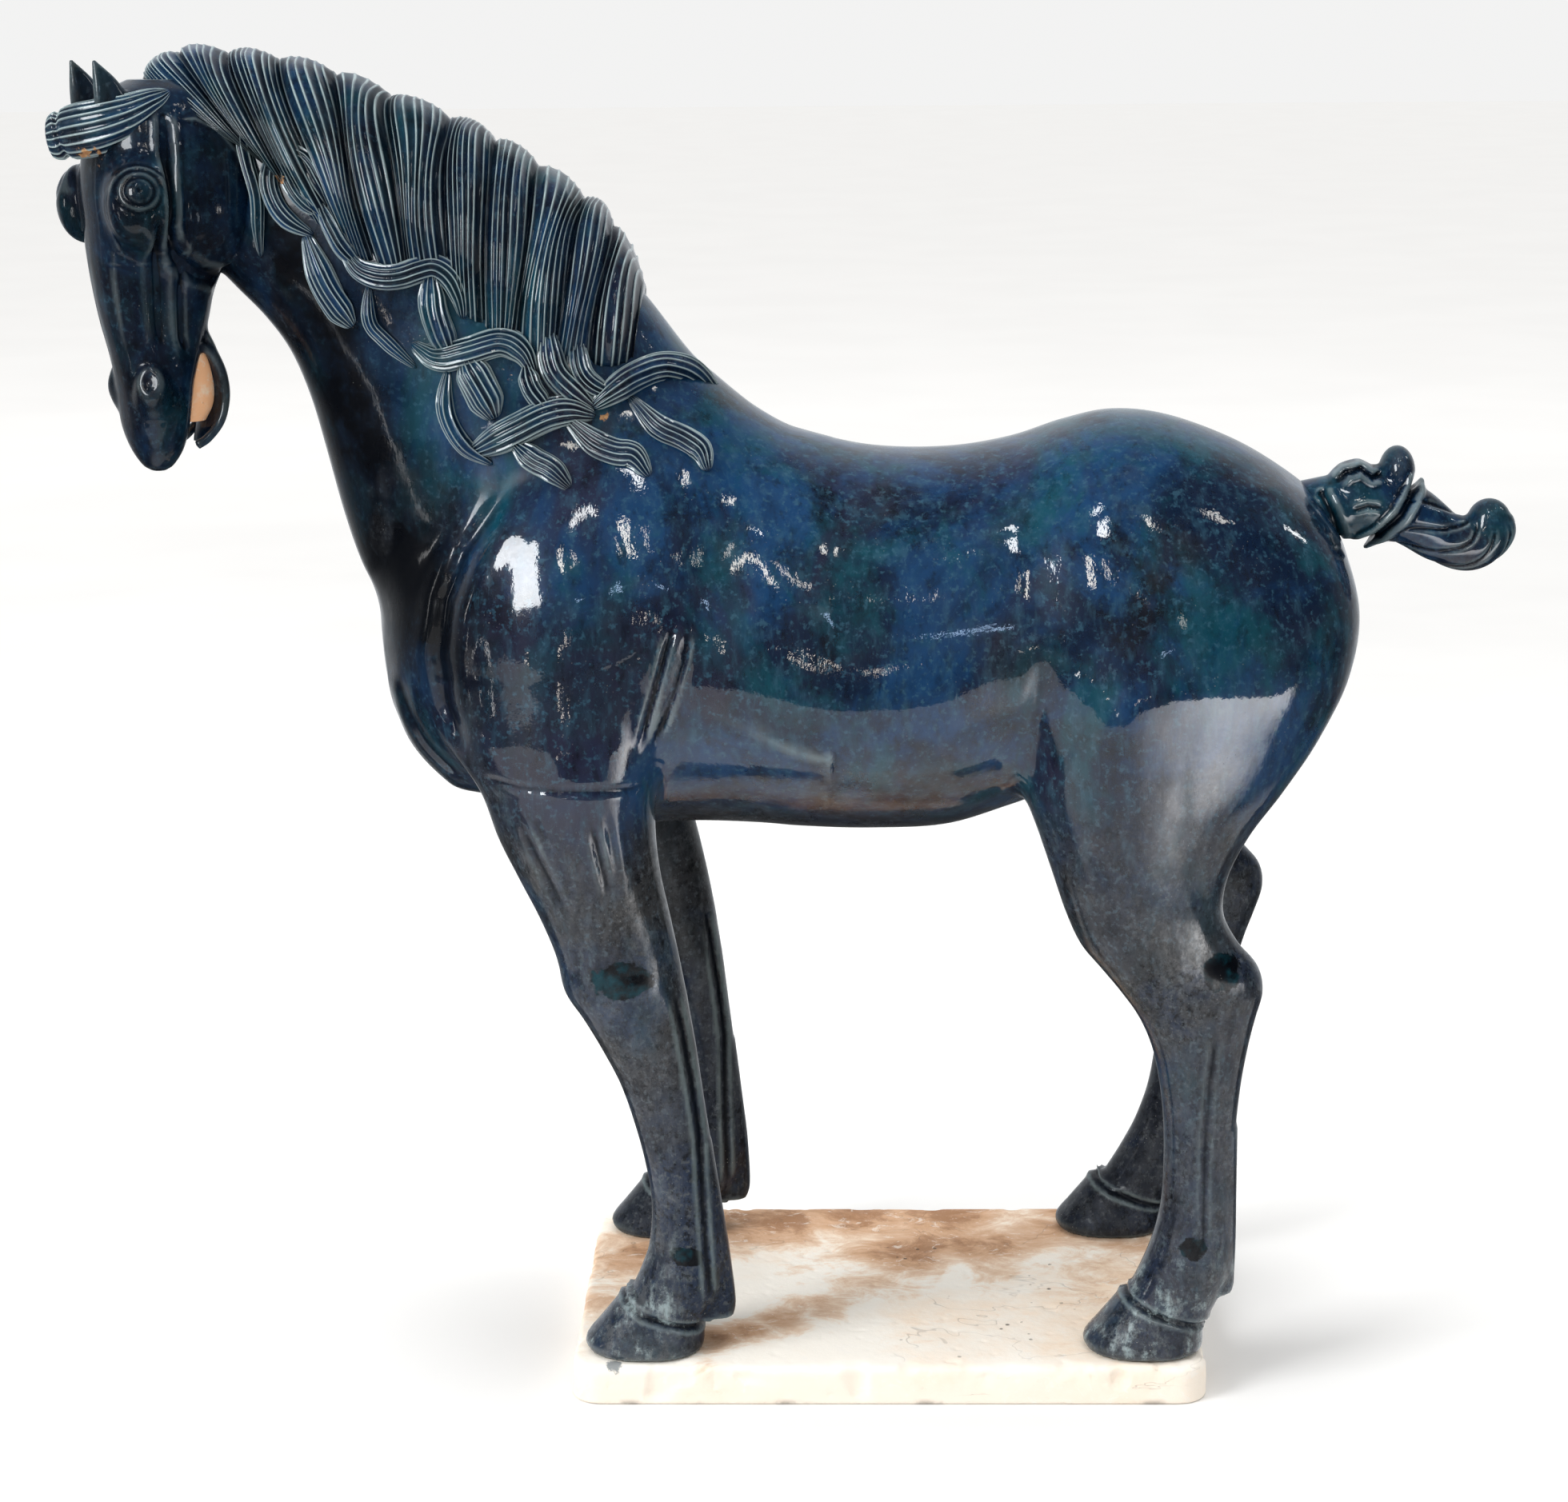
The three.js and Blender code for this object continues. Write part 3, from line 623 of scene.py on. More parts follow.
for side in (-1, 1):
    fore, hind = SHIFTS[side]
    body.join(leg(FORELEG, side, fore), 9.0)
    body.join(leg(HINDLEG, side, hind), 16.0)
    body.join(heel_tuft(FORE_TUFT, side, fore), 2.5)
    body.join(heel_tuft(HIND_TUFT, side, hind), 2.5)
    body.join(hoof(FORELEG[-1][1] - HOOF_TOE_REACH + fore["hoof"], side), 1.2)
    body.join(hoof(HINDLEG[-1][1] - HOOF_TOE_REACH + hind["hoof"], side), 1.2)

# Grooves (depth over 0) and ridges, as rows for creases().
CHEST_CREASES = [
    [1.6, 3.0, 20, 90, 0.15, 0.5, [(-250, 352), (-244, 331), (-235, 314), (-218, 295)]],
    [3.6, 5.0, 30, 115, 0.2, 0.35,
     [(-180, 456), (-196, 437), (-210, 417), (-220, 393), (-224, 366), (-221, 342), (-213, 323),
      (-200, 309)]],
]
# Swells (depth under 0) of shoulder, flank and haunch, with soft hollows between them:
# [x, y, z, size along x, size along z, depth].
SWELLS = [
    [-136, 92, 396, 36, 60, -3.2], [-86, 92, 418, 22, 48, 4.0], [-8, 92, 385, 62, 60, -2.0],
    [-16, 92, 322, 76, 38, -7.0], [70, 92, 408, 18, 44, 2.0], [132, 92, 385, 46, 60, -2.6],
    [-166, 100, 334, 46, 32, -6.0], [110, 100, 336, 26, 32, -4.0], [136, 100, 362, 60, 38, -7.0],
]
SWELL_WIDTH = 40
SKIN_CREASES = [
    # where the leg leaves the chest
    [1.1, 1.8, 60, 116, 0.15, 0.2,
     [(-206, 309), (-183, 305), (-162, 304), (-143, 303), (-127, 302), (-117, 303)]],
    # behind the elbow
    [1.7, 1.6, 55, 116, 0.25, 0.6, [(-105, 388), (-110, 372), (-115, 354), (-120, 337), (-124, 320)], 2.0],
    [1.7, 1.6, 55, 116, 0.25, 0.6, [(-98, 387), (-101, 367), (-106, 351), (-112, 335), (-119, 320)], 2.0],
    [0.8, 1.6, 55, 116, 0.25, 0.6, [(-101, 381), (-105, 364), (-110, 348), (-116, 333)], 2.0],
    [0.35, 1.6, 55, 116, 0.25, 0.6, [(-112, 384), (-122, 371), (-134, 364), (-150, 360)], 2.0],
    # down the muscles of the foreleg
    [1.4, 2.3, 60, 116, 0.35, 0.5, [(-186, 292), (-177, 273), (-164, 244), (-157, 232)]],
    [0.8, 2.0, 60, 116, 0.35, 0.4, [(-179, 296), (-173, 282), (-166, 262)]],
    [1.4, 2.1, 60, 116, 0.35, 0.5, [(-149, 293), (-145, 274), (-141, 255), (-139, 238)]],
    [0.8, 1.8, 60, 116, 0.35, 0.4, [(-141, 296), (-139, 277), (-136, 256), (-135, 236)]],
    # flank and thigh
    [2.0, 5.0, 45, 116, 0.3, 0.0, [(80, 376), (75, 352), (73, 330), (75, 308), (80, 286)]],
    [0.9, 5.0, 60, 116, 0.35, 0.0, [(150, 330), (145, 300), (146, 272), (153, 250), (164, 226)]],
]
FAR_RELIEF = 0.6

for side in (-1, 1):
    fade = 1.0 if side < 0 else FAR_RELIEF
    creases(body, CHEST_CREASES, side, fade)
    for x, y, z, size_x, size_z, depth in SWELLS:
        patch(body, [x, side * y, z], [size_x, SWELL_WIDTH, size_z], depth * fade)
    creases(body, SKIN_CREASES, side, fade)

# Tendons and coronets, then the shiny shelves (tilt) and swells of knee, hock and fetlock, for
# fore and hind leg: [x, y, z, sizes, depth, tilt]. The places are those of the near legs.
TENDONS = [
    [1.7, 1.5, 60, 112, 0.1, 0.5,
     [(-110, 200), (-105, 173), (-101, 148), (-97, 118), (-95.5, 84), (-93.5, 50), (-92, 24)]],
    [1.2, 1.7, 60, 112, 0.12, 0.4, [(166, 180), (163, 148), (161.5, 119), (161, 86), (161.5, 50)]],
]
CORONETS = [
    [(-141, 34), (-136, 29), (-128, 24), (-115, 20), (-99, 15), (-92, 13)],
    [(118, 35), (124, 30), (132, 26), (144, 22), (158, 17), (168, 15)],
]
JOINT_HEIGHT = 204
JOINTS = [
    [[-134, 100, 204, [17, 12, 11], 0.0, 2.6], [-163, 84, 196, [12, 22, 13], -1.6, 0.0]],
    [[166, 95, 204, [13, 12, 11], 0.0, 2.6], [182, 84, 198, [9, 15, 15], -1.8, 0.0]],
]
FETLOCKS = [[-112, 102, 50, [13, 10, 8], 0.0, 2.2], [156, 102, 56, [13, 10, 8], 0.0, 2.0]]

for side in (-1, 1):
    for shift, (*form, line) in zip(SHIFTS[side], TENDONS):
        line = [(x + leg_shift(z, shift), z) for x, z in line]
        creases(body, [[*form, line]], side)
    for shift, line in zip(SHIFTS[side], CORONETS):
        line = [(x + shift["hoof"], z) for x, z in line]
        creases(body, [[1.4, 1.5, 50, 113, 0.02, 0.8, line, 1.9]], side)
    for shift, joint, fetlock in zip(SHIFTS[side], JOINTS, FETLOCKS):
        push = leg_shift(JOINT_HEIGHT, shift)
        for (x, y, z, *form), move in ((joint[0], push), (joint[1], push), (fetlock, shift["hoof"])):
            patch(body, [x + move, side * y, z], *form)


# Head

head = Field([-52, -50, 446], [58, 50, 664], 0.8)
head.join(loft(level(SKULL), 128, 200, SKULL_SQUARENESS), 1.0)
head.join(swelling(FOREHEAD[0], FOREHEAD[1], 96), 7.0)
head.join(loft(level(JAW), 96, 120), 2.0)
for side in (-1, 1):
    brow, softness = (BROW, 5.0) if side > 0 else (NEAR_BROW, 12.0)
    head.join(swelling(on_side(brow[0], side), brow[1], 96), softness)
    head.join(swelling(on_side(CHEEK[0], side), CHEEK[1], 128), 6.0)
    head.join(swelling(on_side(NOSTRIL[0], side), NOSTRIL[1], 64), 4.0)
    head.join(strand([on_side(row, side) for row in EAR], width_near([1, 0, 0]), 48, 60), 3.0)


def rings_on(field, centre, half_a, half_b, rule, spread=2.0):
    """Carves rule(rho, height) round a place, in the plane that touches the surface there."""
    centre = np.asarray(centre, float)
    for _ in range(6):
        centre = centre - field.slope(centre[None], 3.0)[0] * field.sample(centre[None])[0]
    out = field.slope(centre[None], 4.0)[0]
    across = np.cross([0, 0, 1], out)
    across /= np.linalg.norm(across)
    up = np.cross(out, across)
    pad = max(half_a, half_b) * spread

    def values(x, y, z):
        dx, dy, dz = x - centre[0], y - centre[1], z - centre[2]
        a = dx * across[0] + dy * across[1] + dz * across[2]
        b = dx * up[0] + dy * up[1] + dz * up[2]
        c = dx * out[0] + dy * out[1] + dz * out[2]
        near = smooth_step(pad - np.abs(c), 0, pad * 0.4)
        return rule(np.sqrt((a / half_a) ** 2 + (b / half_b) ** 2), b) * near

    field.carve(centre - pad, centre + pad, values)


def ring(rho, at, width):
    """A round ridge of height 1 at a distance from the centre."""
    return np.exp(-(((rho - at) / width) ** 2))


EYE_RELIEF = 0.75


def eye(rho, height):
    """Lid, white and pupil, with a fold over the lid."""
    upper = smooth_step(height, -2, 4)
    return EYE_RELIEF * (
        0.35 * ring(rho, 1.0, 0.1)
        - 0.45 * ring(rho, 0.84, 0.1)
        + 0.5 * ring(rho, 0.64, 0.08)
        - 1.3 * np.maximum(1 - (rho / 0.6) ** 2, 0)
        + 0.9 * ring(rho, 0, 0.13)
        + 0.45 * ring(rho, 1.3, 0.1) * upper
        - 0.4 * ring(rho, 1.16, 0.09) * upper
    )


def nostril(rho, height):
    """A flared edge, open towards the front, round a hole."""
    edge = 0.45 * ring(rho, 1.05, 0.24) - 0.4 * ring(rho, 0.7, 0.24)
    return edge * (1 - 0.6 * smooth_step(-height, 0, 6)) + 1.6 * ring(rho, 0.1, 0.3)


FACE_CREASES = [
    # from ear to mouth behind the eye, and over the cheek
    [3.0, 2.2, 16, 48, 0.12, 0.45, [(-12.5, 636), (-15, 616), (-16.5, 596), (-15.5, 578), (-12, 566)]],
    [-0.9, 1.4, 22, 48, 0.2, 0.0, [(-9, 630), (2, 630), (12, 625), (21, 614), (26, 600)]],
    # folds and bones of the nose
    [2.4, 2.4, 10, 48, 0.25, 0.3, [(-25.5, 584), (-20, 566), (-18, 550), (-17, 531), (-15.5, 512)]],
    [-1.6, 3.0, 8, 48, 0.25, 0.0, [(-12, 566), (-11, 545), (-9.5, 520), (-6, 505)]],
    [2.2, 2.0, 8, 48, 0.2, 0.0, [(-6.5, 566), (-5.5, 543), (-5, 523), (-2, 512)]],
    [-0.9, 2.2, 7, 20, 0.2, 0.0, [(-38.8, 582), (-37.2, 552), (-34, 524), (-30, 504)]],
    [-1.2, 2.6, 12, 48, 0.25, 0.0, [(-28.5, 586), (-27, 560), (-25, 535), (-23, 514)]],
    # under the cheek
    [2.4, 3.0, 14, 50, 0.2, 0.5, [(-15, 574), (-9, 562), (4, 553.5), (18, 550), (34, 554)]],
]
LIP_HALF = 2.3
LIP_SIDEWAYS = 11.5

for side in (-1, 1):
    rings_on(head, [-34.4, side * 41.6, 597], 11.5, 10.5, eye)
    rings_on(head, [-24.8, side * 21.2, 501], 8.5, 11.0, nostril)
    creases(head, FACE_CREASES, side)
    patch(head, [-37, side * 16, 634], [3.5, 4, 12], 1.6)
    lip = [[x, side * LIP_SIDEWAYS, z, LIP_HALF, LIP_HALF] for x, z in LIP]
    head.join(strand(lip, width_near([0, 1, 0]), 32, 90), 2.0)

# The bare clay inside the open mouth, sunk a little between the lips.
mouth_shell = loft(level(TONGUE), 64, 60)


def head_to_figure(points):
    """Turns directions or places of the head; places then need HEAD_PLACE added."""
    c, s = math.cos(HEAD_TURN), math.sin(HEAD_TURN)
    turn = np.array([[c, -s, 0], [s, c, 0], [0, 0, 1]])
    return points @ turn.T


# The head's own mesh stands on a softened stump of the same head, which fillets it to the neck.
stump = [loft(level(SKULL), 96, 120, SKULL_SQUARENESS)]
stump += [swelling(on_side(CHEEK[0], side), CHEEK[1], 96) for side in (-1, 1)]
for verts, tris in stump:
    body.join((head_to_figure(verts) + HEAD_PLACE, tris), 4.0, inset=1.5)
creases(body, [CHEEK_REAR_GROOVE], -1)


# Tail


def tail_ripple(turn, share):
    """Twisted grooves in the free end of the tail."""
    wave = (turn * 6 - share * 38) / (2 * np.pi)
    v = wave - np.floor(wave)
    groove = np.abs(2 * v - 1) ** 5
    return 1 - 0.15 * groove * smooth_step(share, 0.34, 0.48) * smooth_step(1 - share, 0.0, 0.12)


# The wrapped edge of the knot, the swirl of its first lobe and the fold at the root.
KNOT_CREASES = [
    [3.4, 2.0, -6, 26, 0.08, 0.7, [(274, 447), (271, 439), (263, 426), (253, 415), (243, 408)]],
    [1.7, 1.4, -6, 26, 0.2, 0.7, [(230, 441), (236, 447), (243, 449), (249, 445), (256, 446)]],
    [1.0, 1.3, -6, 26, 0.3, 0.5, [(237, 428), (246, 431), (255, 430)]],
    [2.2, 2.4, -6, 26, 0.1, 0.4, [(222, 439), (228, 427), (235, 410)]],
]

tail = Field([200, -26, 384], [332, 26, 466], 0.8)
tail.join(strand(TAIL, width_near([0, 1, 0]), 96, 160, tail_ripple), 1.0)
for place, size in TAIL_TURNS:
    tail.join(swelling(place, size, 64), 4.0)
tail.join(swelling(*TAIL_END, 64), 3.0)
for side in (-1, 1):
    creases(tail, KNOT_CREASES, side)


# Hair


def side_of_ground(x, z, side):
    """How far sideways the neck and shoulder reach at places seen from the side."""
    x, z = np.atleast_1d(x).astype(float), np.atleast_1d(z).astype(float)
    y = np.arange(112.0, -60.0, -1.0) * side
    points = np.stack(np.broadcast_arrays(x[:, None], y[None], z[:, None]), -1)
    values = hair_ground.sample(points.reshape(-1, 3)).reshape(len(x), -1)
    inside = values < 0
    first = np.maximum(inside.argmax(1), 1)
    pick = np.arange(len(x))
    before, after = values[pick, first - 1], values[pick, first]
    part = np.clip(before / np.maximum(before - after, 1e-6), 0, 1)
    return y[first - 1] + (y[first] - y[first - 1]) * part


# One comb channel across, a sharp pale ridge and a wide hollow: (share, depth, ridge).
CHANNEL = [
    (0.0, 0.0, 1.0), (0.08, 0.2, 0.75), (0.16, 0.68, 0.0), (0.32, 0.94, 0.0),
    (0.5, 1.0, 0.0), (0.68, 0.94, 0.0), (0.84, 0.68, 0.0), (0.92, 0.2, 0.75),
]


def channels(count, variation=0.42):
    """Shares from 0 to 1 across a set of comb channels, with depth, ridge and pooled glaze at each."""
    widths = 1 + variation * rng.uniform(-1, 1, count)
    starts = np.concatenate([[0], np.cumsum(widths)]) / widths.sum()
    deep = rng.uniform(0.7, 1.2, count)
    pooled = rng.uniform(0.1, 1.0, count)
    rows = []
    for k in range(count):
        for v, depth, ridge in CHANNEL:
            place = starts[k] + v * (starts[k + 1] - starts[k])
            rows.append((place, depth * deep[k], ridge, depth * pooled[k]))
    return np.array(rows).T


def mane_sheet():
    """The mane over the crest, from its near edge (way 1) to its far edge (FAR_WAY)."""
    lobes = len(MANE) - 1
    rows = 66
    table = np.array(MANE, float)
    across = []
    for lobe in range(lobes):
        count = int(rng.integers(6, 9)) + (2 if lobe == 0 else 0)
        across.append(channels(count) + [[lobe], [0], [0], [0]])
    across.append([[lobes], [0], [1], [0]])
    place, depth, ridge, pool = np.concatenate(across, 1)
    depth = depth * COMB_DEPTH
    way = FAR_WAY + (1 - FAR_WAY) * np.linspace(0, 1, rows)
    # each channel strays a little as it runs down
    drift = np.zeros((len(place), rows))
    for wave in range(3):
        turn = rng.uniform(0, 2 * np.pi, 3)
        phase = place[:, None] * (1.7 + 1.3 * wave) + way[None] * (3 + 2.2 * wave) + turn[wave]
        drift += COMB_STRAY * np.sin(phase)
    at_ends = np.sin(np.pi * np.clip(place / lobes, 0, 1))[:, None] ** 0.2
    flat = np.clip(place[:, None] + drift * at_ends, 0, lobes).ravel()
    crest = curve(table[:, :2], flat / lobes)
    lower = curve(table[:, 2:], flat / lobes)
    shares = np.linspace(0, 1, GROUND_STEPS)
    steady = curve(table[:, 2:], shares).T
    near = np.interp(flat / lobes, shares, -side_of_ground(*steady, -1))
    far = np.interp(flat / lobes, shares, side_of_ground(*steady, 1))
    full = np.sin(np.pi * np.mod(flat, 1.0)) ** LOBE_ROUNDNESS
    full[np.isclose(np.mod(flat, 1.0), 0)] = 0
    down = lower - crest
    length = np.linalg.norm(down, axis=1)
    down /= length[:, None]
    fall = length - MANE_THICKNESS + LOBE_HANG * full
    middle, reach = (far - near) / 2, (near + far) / 2
    ways = np.tile(way, len(place))
    edge = smooth_step(1 - ways, 0, 0.22) * smooth_step(ways - FAR_WAY, 0, 0.16)
    edge = EDGE_THINNESS + (1 - EDGE_THINNESS) * edge
    crest_height = (MANE_THICKNESS - CREST_TRIM) * (NOTCH_THINNESS + (1 - NOTCH_THINNESS) * full)
    side_height = SIDE_THICKNESS * (VALLEY_THINNESS + (1 - VALLEY_THINNESS) * full**1.5)
    height = (crest_height + (side_height - crest_height) * smooth_step(np.abs(ways), 0.08, 0.3)) * edge
    combed = (0.45 + 0.55 * edge) * (0.3 + 0.7 * smooth_step(np.abs(ways - 0.05), 0.05, 0.25))
    height = height - np.repeat(depth, rows) * combed

    def fallen(drop, y, pick):
        """Places so far down from the crest, and so far sideways."""
        return np.stack([crest[pick, 0] + down[pick, 0] * drop, y, crest[pick, 1] + down[pick, 1] * drop], 1)

    def point_at(w, h, pick=slice(None)):
        """Places a share of the way round the crest, raised by h."""
        bend = w * np.pi / 2
        drop = MANE_THICKNESS + fall[pick] * (1 - np.cos(bend)) - h * np.cos(bend)
        across = middle[pick] * np.abs(np.sin(bend)) - (reach[pick] + h) * np.sin(bend)
        return fallen(drop, across, pick)

    outside = point_at(ways, height).reshape(len(place), rows, 3)
    last = np.arange(len(place)) * rows + rows - 1
    first = np.arange(len(place)) * rows
    inner_near = point_at(np.ones(len(place)), -MANE_ROOTING, last)
    inner_far = point_at(np.full(len(place), FAR_WAY), -MANE_ROOTING, first)
    core = fallen(fall[first] * MANE_CORE, middle[first], first)
    rings = np.concatenate([outside, inner_near[:, None], core[:, None], inner_far[:, None]], 1)
    shine = np.concatenate([np.repeat(ridge[:, None], rows, 1), np.zeros((len(place), 3))], 1)
    full = full.reshape(len(place), rows)
    # Painted shade in the gaps between the lobes: the pale ridges fade there, and the hollow value, which
    # also holds the pooled glaze, rises.
    shine[:, :rows] *= 0.25 + 0.75 * smooth_step(full, 0.25, 0.7)
    lobe_gap_shade = (1 - full) ** 1.3
    low = np.concatenate([np.clip(pool[:, None] + lobe_gap_shade, 0, 1), np.ones((len(place), 3))], 1)
    verts, tris = skin(rings)
    return verts, tris, np.append(shine.ravel(), [0, 0]), np.append(low.ravel(), [1, 1])


def combed_strand(rows, width_rule, count, steps, depth, twist=0.0, pinch=None, blunt=10):
    """A lock with comb channels round it. Returns its mesh with ridge and hollow values."""
    place, hollow, ridge, pool = channels(count, 0.3)
    shares, path, size, wide, thick = sweep(rows, width_rule, steps)
    rounding = np.clip(1 - np.abs(2 * shares - 1) ** blunt, 0.02, 1) ** 0.5
    fade = soft_ends(shares, 0.06, 0.06)
    waist = np.ones(steps)
    if pinch:
        waist = 1 - pinch[1] * np.exp(-(((shares - pinch[0]) / pinch[2]) ** 2))
    angle = (place * 2 * np.pi)[None] + twist * shares[:, None]
    scale = np.ones(angle.shape) * (rounding * waist)[:, None]
    scale = scale * (1 - depth * hollow[None] * fade[:, None] / size.mean(1, keepdims=True))
    verts, tris = skin(swept(path, size, wide, thick, angle, scale))
    shine = np.append((ridge[None] * fade[:, None]).ravel(), [0, 0])
    low = np.append(np.tile(np.clip(pool, 0, 1), steps), [0, 0])
    return verts, tris, shine, low


def loose_lock(lock, number):
    """A loose lock that lies on the near side of neck and shoulder."""
    half, *places = lock
    places = np.array(places, float)
    fine = np.linspace(0, 1, 13)
    where = curve(places, fine)
    y = side_of_ground(where[:, 0], where[:, 1], -1)
    if number == STEEP_LOCK:
        y = np.interp(fine, np.linspace(0, 1, len(STEEP_Y)), STEEP_Y)
    y = np.convolve(np.pad(y, 1, "edge"), [0.25, 0.5, 0.25], "valid")
    taper = LOCK_TAPER + (1 - LOCK_TAPER) * smooth_step(fine, 0, 0.3) * smooth_step(1 - fine, 0, 0.3)
    rise = LOCK_RISE * np.sin(np.pi * fine) ** 0.5
    rows = np.stack([where[:, 0], y - rise, where[:, 1], half * taper * 1.1, LOCK_THICKNESS * taper], 1)
    length = np.linalg.norm(np.diff(where, axis=0), axis=1).sum()
    steps = int(np.clip(length * 0.75, 22, 72) * (1))
    count = int(round(half * 1.6)) + 3
    twist = rng.uniform(-0.5, 0.5)
    return combed_strand(rows, width_on_face([0, -1, 0]), count, steps, LOCK_COMB_DEPTH[1], twist)


mane = [mane_sheet()]
locks = [loose_lock(lock, number) for number, lock in enumerate(LOCKS)]
forelock = combed_strand(
    FORELOCK,
    width_near([0, 0, 1]),
    FORELOCK_CHANNELS,
    110,
    LOCK_COMB_DEPTH[0],
    pinch=FORELOCK_BAND,
    blunt=14,
)
mane.append((head_to_figure(forelock[0]) + HEAD_PLACE, *forelock[1:]))


# Plinth

PLINTH_HALF_LENGTH = 165
PLINTH_HALF_WIDTH = 112
PLINTH_CORNER = 16
PLINTH_EDGE = 4.0
PLINTH_LOWER_EDGE = 1.5


def lattice_noise(x, y, z, size, seed):
    """Smooth noise from -1 to 1 with features about size millimetres wide."""
    cells = np.random.default_rng(seed).uniform(-1, 1, (64, 64, 64))

    def split(v):
        v = v / size
        base = np.floor(v).astype(int)
        f = v - base
        return base % 64, f * f * (3 - 2 * f)

    (ix, fx), (iy, fy), (iz, fz) = split(x), split(y), split(z)
    total = 0.0
    for dx, dy, dz, weight in cell_corners(fx, fy, fz):
        total = total + weight * cells[(ix + dx) % 64, (iy + dy) % 64, (iz + dz) % 64]
    return total


def box_distance(a, b):
    """Distance to a corner at the origin; both values are under 0 inside."""
    return np.sqrt(np.maximum(a, 0) ** 2 + np.maximum(b, 0) ** 2) + np.minimum(np.maximum(a, b), 0)


def slab(x, y, z):
    """The slab with a worn, chipped rim and pits; its underside stays flat."""
    plan = box_distance(
        np.abs(x) - (PLINTH_HALF_LENGTH - PLINTH_CORNER), np.abs(y) - (PLINTH_HALF_WIDTH - PLINTH_CORNER)
    )
    plan = plan - PLINTH_CORNER
    edge = np.where(z > PLINTH_TOP / 2, PLINTH_EDGE, PLINTH_LOWER_EDGE)
    wz = np.abs(z - PLINTH_TOP / 2) - PLINTH_TOP / 2 + edge
    block = box_distance(plan + edge, wz) - edge
    rim = np.exp(-((np.minimum(np.abs(plan), 60) / 7) ** 2)) * smooth_step(z, 8, 20)
    wear = 0.7 + 0.6 * lattice_noise(x, y, z, 26.0, 5)
    wear = wear + np.maximum(lattice_noise(x, y, z, 10.0, 6) - 0.3, 0) * 3.4
    pitted = np.maximum(lattice_noise(x, y, z, 5.0, 8) - 0.62, 0) * 3.0
    waves = 0.35 + 0.35 * lattice_noise(x, y, z, 17.0, 7) + 0.12 * lattice_noise(x, y, z, 6.0, 9)
    away = smooth_step(z, 0.5, 6)
    chips = np.maximum(lattice_noise(x, y, z, 15.0, 11) - 0.42, 0) * np.exp(-((plan / 6) ** 2)) * 9.0
    worn = rim * wear * 1.05 + np.maximum(waves, 0) + pitted + chips
    return np.clip(block + worn * away * 0.8, -7.0, 7.0)


PLINTH_BOX = ([-170, -117, -5], [170, 117, 27])
plinth = Field(*PLINTH_BOX, 1.2, band=6)
where, grids = plinth.window(*PLINTH_BOX)
plinth.values[where] = slab(*grids).astype(np.float32)


# Meshes in the row frame


def placed(verts, lift=SOLE_HEIGHT):
    """Places in millimetres, lifted and in the metres of the row frame."""
    out = np.array(verts, float)
    out[:, 2] += lift
    return out * MM


def set_values(mesh, name, values):
    layer = mesh.attributes.new(name, "FLOAT", "POINT")
    layer.data.foreach_set("value", np.ascontiguousarray(values, np.float32))


def add_piece(name, parts, extra):
    """Joins parts into one piece; extra maps a value's name to a rule over places in metres."""
    verts, tris, start = [], [], 0
    for part in parts:
        verts.append(part["verts"])
        tris.append(part["tris"] + start)
        start += len(part["verts"])
    verts = np.vstack(verts)
    mesh = new_mesh(name, verts, np.vstack(tris))
    mesh.polygons.foreach_set("use_smooth", np.ones(len(mesh.polygons), bool))
    for value in ("ridge", "hollow"):
        set_values(mesh, value, np.concatenate([part[value] for part in parts]))
    for value, rule in extra.items():
        set_values(mesh, value, rule(verts))
    if parts[0]["normals"] is not None:
        mesh.normals_split_custom_set_from_vertices(np.ascontiguousarray(parts[0]["normals"], np.float32))
    return in_scene(name, mesh)


def part_of_field(field, share, lift=SOLE_HEIGHT, turn=None, offset=(0, 0, 0)):
    """The mesh of a field; its ridges and hollows are read from the bend of the surface."""
    verts, tris = field.mesh(share)
    normals = field.slope(verts)
    reach = field.pitch * BEND_REACH
    bend = -6 * field.sample(verts)
    for axis in range(3):
        shift = np.zeros(3)
        shift[axis] = reach
        bend += field.sample(verts + shift) + field.sample(verts - shift)
    bend /= reach**2
    ridge = smooth_step(bend, *RIDGE_BEND)
    hollow = smooth_step(-bend, *HOLLOW_BEND)
    if turn:
        verts, normals = turn(verts), turn(normals)
    verts = placed(verts + np.asarray(offset, float), lift)
    return {"verts": verts, "tris": tris, "normals": normals, "ridge": ridge, "hollow": hollow}


def part_of_shell(verts, tris, ridge, hollow):
    return {"verts": placed(verts), "tris": tris, "normals": None, "ridge": ridge, "hollow": hollow}


# Bends, in 1/mm, over which ridges and hollows set in, measured over so many grid cells.
BEND_REACH = 1.6
RIDGE_BEND = (0.1, 0.5)
HOLLOW_BEND = (0.06, 0.4)
HEAD_RIDGES = 0.45
# The share of the triangles that each thinned mesh keeps.
SHARES = {"body": 0.245, "head": 0.8, "tail": 0.7, "plinth": 0.5}

body_part = part_of_field(body, SHARES["body"])
head_part = part_of_field(head, SHARES["head"], turn=head_to_figure, offset=HEAD_PLACE)
head_part["ridge"] *= HEAD_RIDGES
tail_part = part_of_field(tail, SHARES["tail"])
plinth_part = part_of_field(plinth, SHARES["plinth"], lift=0)
mouth_verts = head_to_figure(mouth_shell[0]) + HEAD_PLACE
plain = np.zeros(len(mouth_verts))
mouth_part = part_of_shell(mouth_verts, mouth_shell[1], plain, plain)

# Small places where the glaze missed the clay: [x, y, z, radius] in the horse's frame.
BARE_SPOTS = [
    [-237, -56, 537, 3.4], [-189, -61, 505, 4.2], [-166, -66, 473, 3.6], [-160, -66, 474, 2.6],
    [-141, -58, 485, 3.0], [-299, -47, 600, 3.2], [-234, -57, 500, 2.4],
]
FORELOCK_SPOT = [-47, -13, 611, 6.5]
